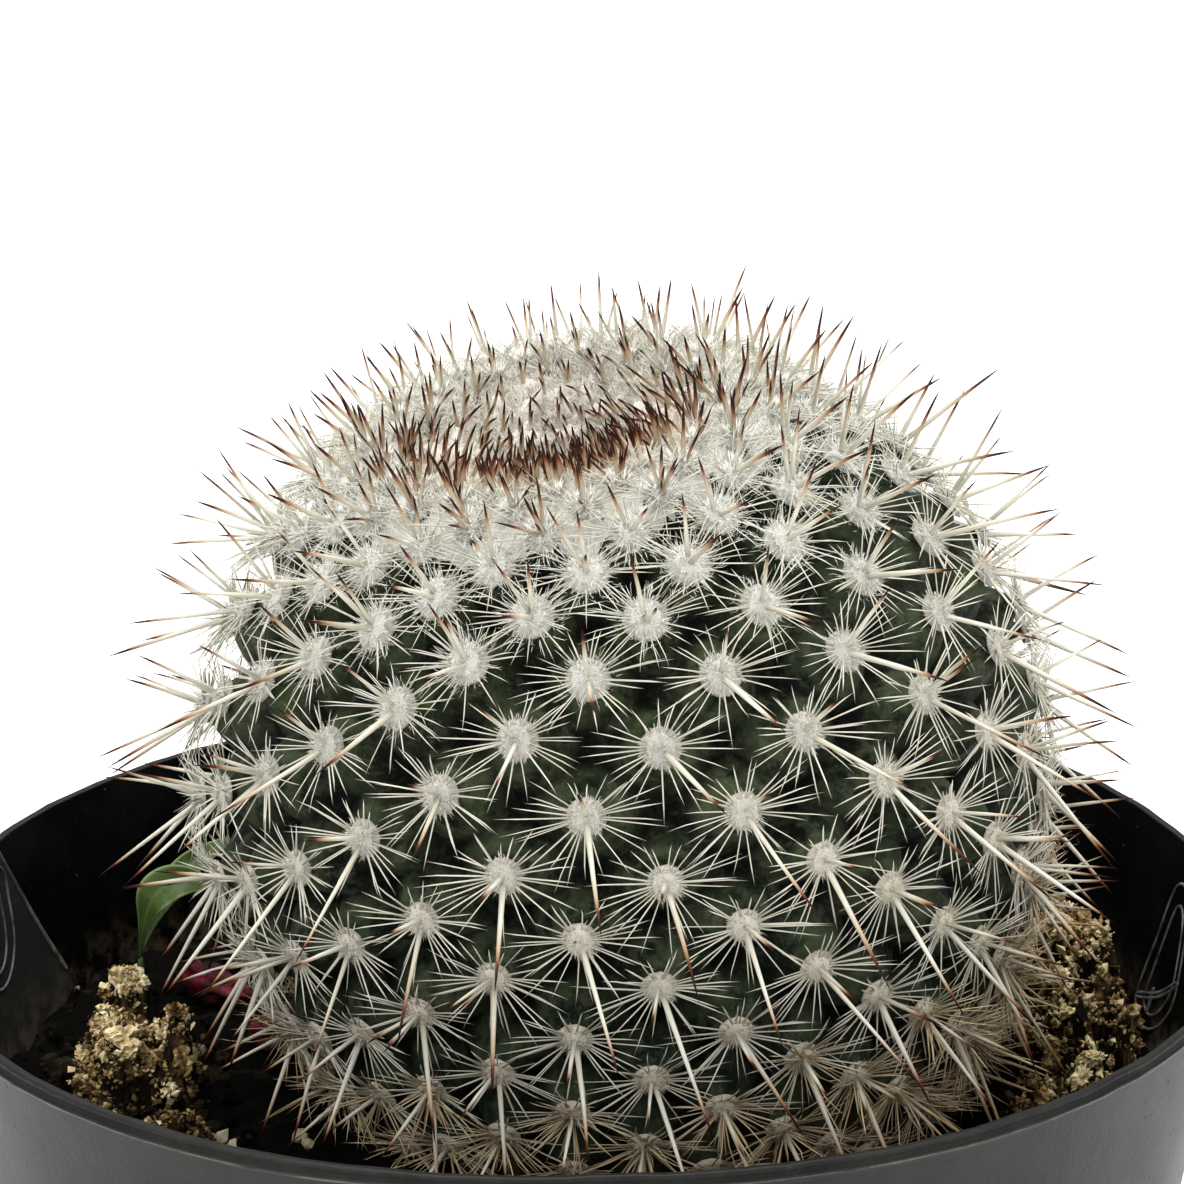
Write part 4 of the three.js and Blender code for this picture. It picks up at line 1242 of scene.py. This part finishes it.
def heap_crumbs(clumps, radius, tone, loose, leafy_above, random):
    """Fine crumbs round each clump and loose ones between them. A few, the leafy ones, are yellow green.

    loose draws the places, sizes and tones of the loose crumbs.
    """
    count = CRUMBS_PER_CLUMP * len(radius)
    around = normalised(random.normal(0, 1, (count, 3)))
    around[:, 2] = np.maximum(around[:, 2], -0.2)
    radius = np.repeat(radius, CRUMBS_PER_CLUMP)
    reach = radius * random.uniform(0.4, 1.15, count)
    centres = np.repeat(clumps, CRUMBS_PER_CLUMP, axis=0) + around * reach[:, None]
    sizes = (0.14 + 0.24 * random.uniform(0, 1, count) ** 2) * radius**0.3
    # painted light and shade: crumbs on a clump's top are lighter and those under it darker
    tone = np.repeat(tone, CRUMBS_PER_CLUMP) + 0.25 * around[:, 2] + random.normal(0, 0.12, count)
    places, loose_sizes, loose_tones = loose()
    centres = np.concatenate([centres, places + [0, 0, 0.15]])
    sizes = np.concatenate([sizes, 0.12 + 0.16 * loose_sizes])
    tone = np.clip(np.concatenate([tone, loose_tones - 0.06]), 0, 1)
    leafy = random.uniform(0, 1, len(centres)) > leafy_above
    tone[leafy] = random.uniform(1.02, 1.2, leafy.sum())
    sizes[leafy] = 0.45
    points, faces = crumbs(centres, sizes, 0, random, roughness=0.6, flatness=0.7)
    return points, faces, per_point(tone, points)


def build_heaps(random):
    """Each heap is a near-black body, painted shade for the gaps, and lumps and clumps of crumbs with dark
    gaps between them.
    """
    material = earth_material()
    for name, mounds in HEAPS.items():
        table = np.array(mounds)
        low = (table[:, :2] - table[:, 2:4]).min(0)
        high = (table[:, :2] + table[:, 2:4]).max(0)

        def scattered(total):
            return heap_clumps(mounds, low, high, total, random)

        def add(prefix, points, faces, tone):
            piece = name.replace("earth_crumbs", prefix)
            add_piece(piece, squeeze(points), faces, {"tone": tone}, material, "dry_earth", name, False)

        points, faces = mound_skin(low, high, mounds)
        # painted shade: the body's tone stays low, so it shows near black in the gaps between the lumps
        add("heap_body", points, faces, np.clip(0.45 * rough_noise(points, 1.1, 21), 0, 0.5))
        add("heap_lumps", *heap_lumps(*scattered(SMALL_LUMPS), HEAP_PEAKS[name], random))
        leafy_above = 0.982 if "right" in name else 0.994
        clumps = scattered(CLUMPS)
        add("dry_crumbs", *heap_crumbs(*clumps, lambda: scattered(LOOSE_CRUMBS), leafy_above, random))


def build_fruits():
    """Two half-dried fruits: club-shaped balls with folds along them and wrinkles."""
    material = fruit_material()
    for name, seed in (("fallen_fruit_long", 2), ("fallen_fruit_short", 5)):
        low, high = node_box(name)
        base, faces = blob(4)
        reach = (high - low) / 2
        length = np.hypot(reach[0], reach[1]) * 0.92
        along = Vector((reach[0], -reach[1], 0.2 * reach[2])).normalized()
        club = 0.75 + 0.25 * np.tanh(-2.2 * base[:, 0])
        folds = np.abs(np.sin(2.5 * np.arctan2(base[:, 2], base[:, 1]) + 2 * base[:, 0] + seed))
        wrinkle = 0.75 + 0.35 * folds + 0.5 * rough_noise(base * [1.8, 3.0, 3.0], 1.0, seed)
        reaches = [np.full(len(base), length), club * wrinkle * 1.4, club * wrinkle * 1.7]
        shape = base * np.column_stack(reaches)
        points = shape @ turn_between((1, 0, 0), along).T + (low + high) / 2
        add_piece(name.replace("fallen_", "dried_"), points, faces, {}, material, "fruit", name)


def leaf_blade(route, width, fold, rows=40, across=14):
    """A thin leaf along a smooth route, folded along its midrib, with both faces and a closed edge."""
    route = np.array(route, float)
    t = np.linspace(0, len(route) - 1, rows)
    spline = np.stack([np.interp(t, np.arange(len(route)), route[:, k]) for k in range(3)], 1)
    for _ in range(40):
        spline[1:-1] = (spline[:-2] + 2 * spline[1:-1] + spline[2:]) / 4
    along = normalised(np.gradient(spline, axis=0))
    side = normalised(np.cross(along, np.tile([-0.35, -0.9, 0.3], (rows, 1))))
    face = np.cross(side, along)[:, None]
    share = np.linspace(0, 1, rows)
    narrowed = 0.22 + 0.78 * smoothstep(share, 0.05, 0.55)
    half = (width * np.sin(np.pi * np.clip(share * 0.94 + 0.03, 0, 1)) ** 0.8 * narrowed)[:, None]
    cross = np.linspace(-1, 1, across)
    wave = 0.12 * np.sin(share * 19)[:, None] * cross[None] ** 2
    lift = fold * half * np.abs(cross)[None] ** 1.3 + wave * half
    middle = spline[:, None] + side[:, None] * (half * cross)[..., None] + face * lift[..., None]
    thick = (0.16 * (1 - 0.7 * np.abs(cross)) + 0.02)[None, :, None]
    points = np.concatenate([(middle + face * thick).reshape(-1, 3), (middle - face * thick).reshape(-1, 3)])
    offset = rows * across
    quads, border = sheet_faces(np.arange(offset).reshape(rows, across).T)
    after = np.roll(border, -1)
    edge = np.column_stack([after, border, border + offset, after + offset])
    faces = np.concatenate([quads, quads[:, ::-1] + offset, edge])
    return points, triangles(faces), np.tile(np.abs(cross), 2 * rows)


def build_seedling():
    """A thin stem that forks into an arched leaf and an upright one. Heights count from the rim."""
    fork = (-35.6, 15.7, -10.5)
    arched = [
        fork,
        (-35.2, 15.2, -7.6),
        (-34.5, 15.0, -4.9),
        (-33.2, 14.8, -3.5),
        (-31.3, 14.6, -3.1),
        (-29.6, 14.5, -3.6),
    ]
    upright = [fork, (-34.5, 17.2, -7), (-32, 18.3, -3.5), (-28.4, 18.6, -1.3)]
    rim = np.array([0, 0, POT_HEIGHT])
    stem_start = np.array([(-35.8, 16.2, -15.5)]) + rim
    reach = np.array([(-35.5, 15.6, -10.0)]) + rim - stem_start
    length = np.linalg.norm(reach, axis=1)
    direction = reach / length[:, None]
    straight = np.zeros((1, 3))
    stem, stem_faces, _ = needles(stem_start, direction, length, np.array([0.5]), straight, 10, 8, 0.3)
    parts = [(stem, stem_faces)]
    veins = [np.ones(len(stem))]
    for route, width in ((arched, 1.55), (upright, 1.2)):
        points, faces, vein = leaf_blade(route + rim, width, 0.3)
        parts.append((points, faces))
        veins.append(vein)
    shares = {"vein": np.concatenate(veins)}
    add_piece("seedling_leaves", *join_meshes(parts), shares, leaf_material(), "leaf", "seedling")


def build_cactus():
    """The skin, the crown's wool, the felt and hairs of the areoles, and the spines."""
    random = np.random.default_rng(7)
    tips = areoles()
    skin = skin_mesh(FIRST_SKIN_ROW, LAST_ROW, 11, skin_depth, cap_depth=5.0, seed=3)
    add_piece("cactus_skin", *skin, skin_material(), "cactus_skin", "cactus")
    wool = wool_material("wool", 1.0)
    points, faces, shares = skin_mesh(TOP_ROW, WOOL_FOOT_ROW, 7, wool_depth, cap_depth=0.0, seed=31)
    shares = wool_shares(shares["row"], points)
    # the felt copy of the wool is darkened by painted shade to 0.82
    add_piece("crown_wool", points, faces, shares, wool_material("felt", 0.82), "wool", "cactus_crown_wool")
    felted = tips.pick(tips.row > -6)
    points, faces = wool_domes(felted)
    shares = wool_shares(per_point(felted.row, points), points)
    # the cushion copy of the wool is darkened by painted shade to 0.58
    add_piece("areole_felt", points, faces, shares, wool_material("cushion", 0.58), "wool")
    add_piece("upper_areole_hairs", *areole_hairs(felted.pick(felted.row < 5), random), wool, "wool")
    add_piece("lower_areole_hairs", *areole_hairs(felted.pick(felted.row >= 5), random), wool, "wool")
    add_piece("crown_curls", *crown_hairs(tips, CROWN_CURLS, True, random), wool, "wool")
    add_piece("crown_fuzz", *crown_hairs(tips, CROWN_FUZZ, False, random), wool, "wool")
    material = spine_material()
    add_piece("dead_spines", *dead_spines(tips, random), material, "cactus_skin")
    add_piece("radial_spines", *radial_spines(tips, random), material, "cactus_skin")
    add_piece("central_spines", *central_spines(tips, random), material, "cactus_skin")


def build_stage():
    """A pale floor, an even pale world, and three soft lights that face the plant."""
    bpy.ops.mesh.primitive_plane_add(size=6)
    floor = bpy.context.object
    floor.name = "floor"
    floor.data.materials.append(floor_material())
    world = bpy.data.worlds.new("studio")
    world.use_nodes = True
    world.node_tree.nodes["Background"].inputs["Color"].default_value = (1, 1, 1, 1)
    world.node_tree.nodes["Background"].inputs["Strength"].default_value = 0.6
    bpy.context.scene.world = world
    for name, place, power, size in (
        ("key", (-0.5, -0.7, 0.9), 7.5, 0.7),
        ("fill", (0.8, -0.5, 0.6), 3.5, 0.6),
        ("top", (0.0, 0.1, 1.2), 13, 0.7),
    ):
        light = bpy.data.lights.new(name, "AREA")
        light.energy = power
        light.size = size
        lamp = bpy.data.objects.new(name, light)
        lamp.location = place
        aim = Vector((0, 0, 0.08)) - Vector(place)
        lamp.rotation_euler = aim.to_track_quat("-Z", "Y").to_euler()
        bpy.context.scene.collection.objects.link(lamp)


def build_camera():
    """The photograph's view, from a little above the rim."""
    distance = CAMERA_DISTANCE * RIM_RADIUS
    elevation = np.radians(CAMERA_ELEVATION)
    height = POT_HEIGHT + distance * np.sin(elevation)
    place = Vector((0.009 * RIM_RADIUS, -distance * np.cos(elevation), height))
    data = bpy.data.cameras.new("camera")
    data.sensor_width = SENSOR_WIDTH
    data.lens = FOCAL_PIXELS / PHOTO_PIXELS * SENSOR_WIDTH
    data.clip_start = 0.01
    camera = bpy.data.objects.new("camera", data)
    pitch = Matrix.Rotation(np.pi / 2 - np.radians(CAMERA_PITCH), 4, "X")
    roll = Matrix.Rotation(np.radians(CAMERA_ROLL), 4, "Z")
    camera.matrix_world = Matrix.Translation(place * MM) @ pitch @ roll
    bpy.context.scene.collection.objects.link(camera)
    bpy.context.scene.camera = camera


build_camera()
build_stage()
scatter = np.random.default_rng(21)
build_pot()
build_soil(scatter)
build_heaps(scatter)
build_fruits()
build_seedling()
build_cactus()
bpy.context.scene.view_settings.view_transform = "Standard"
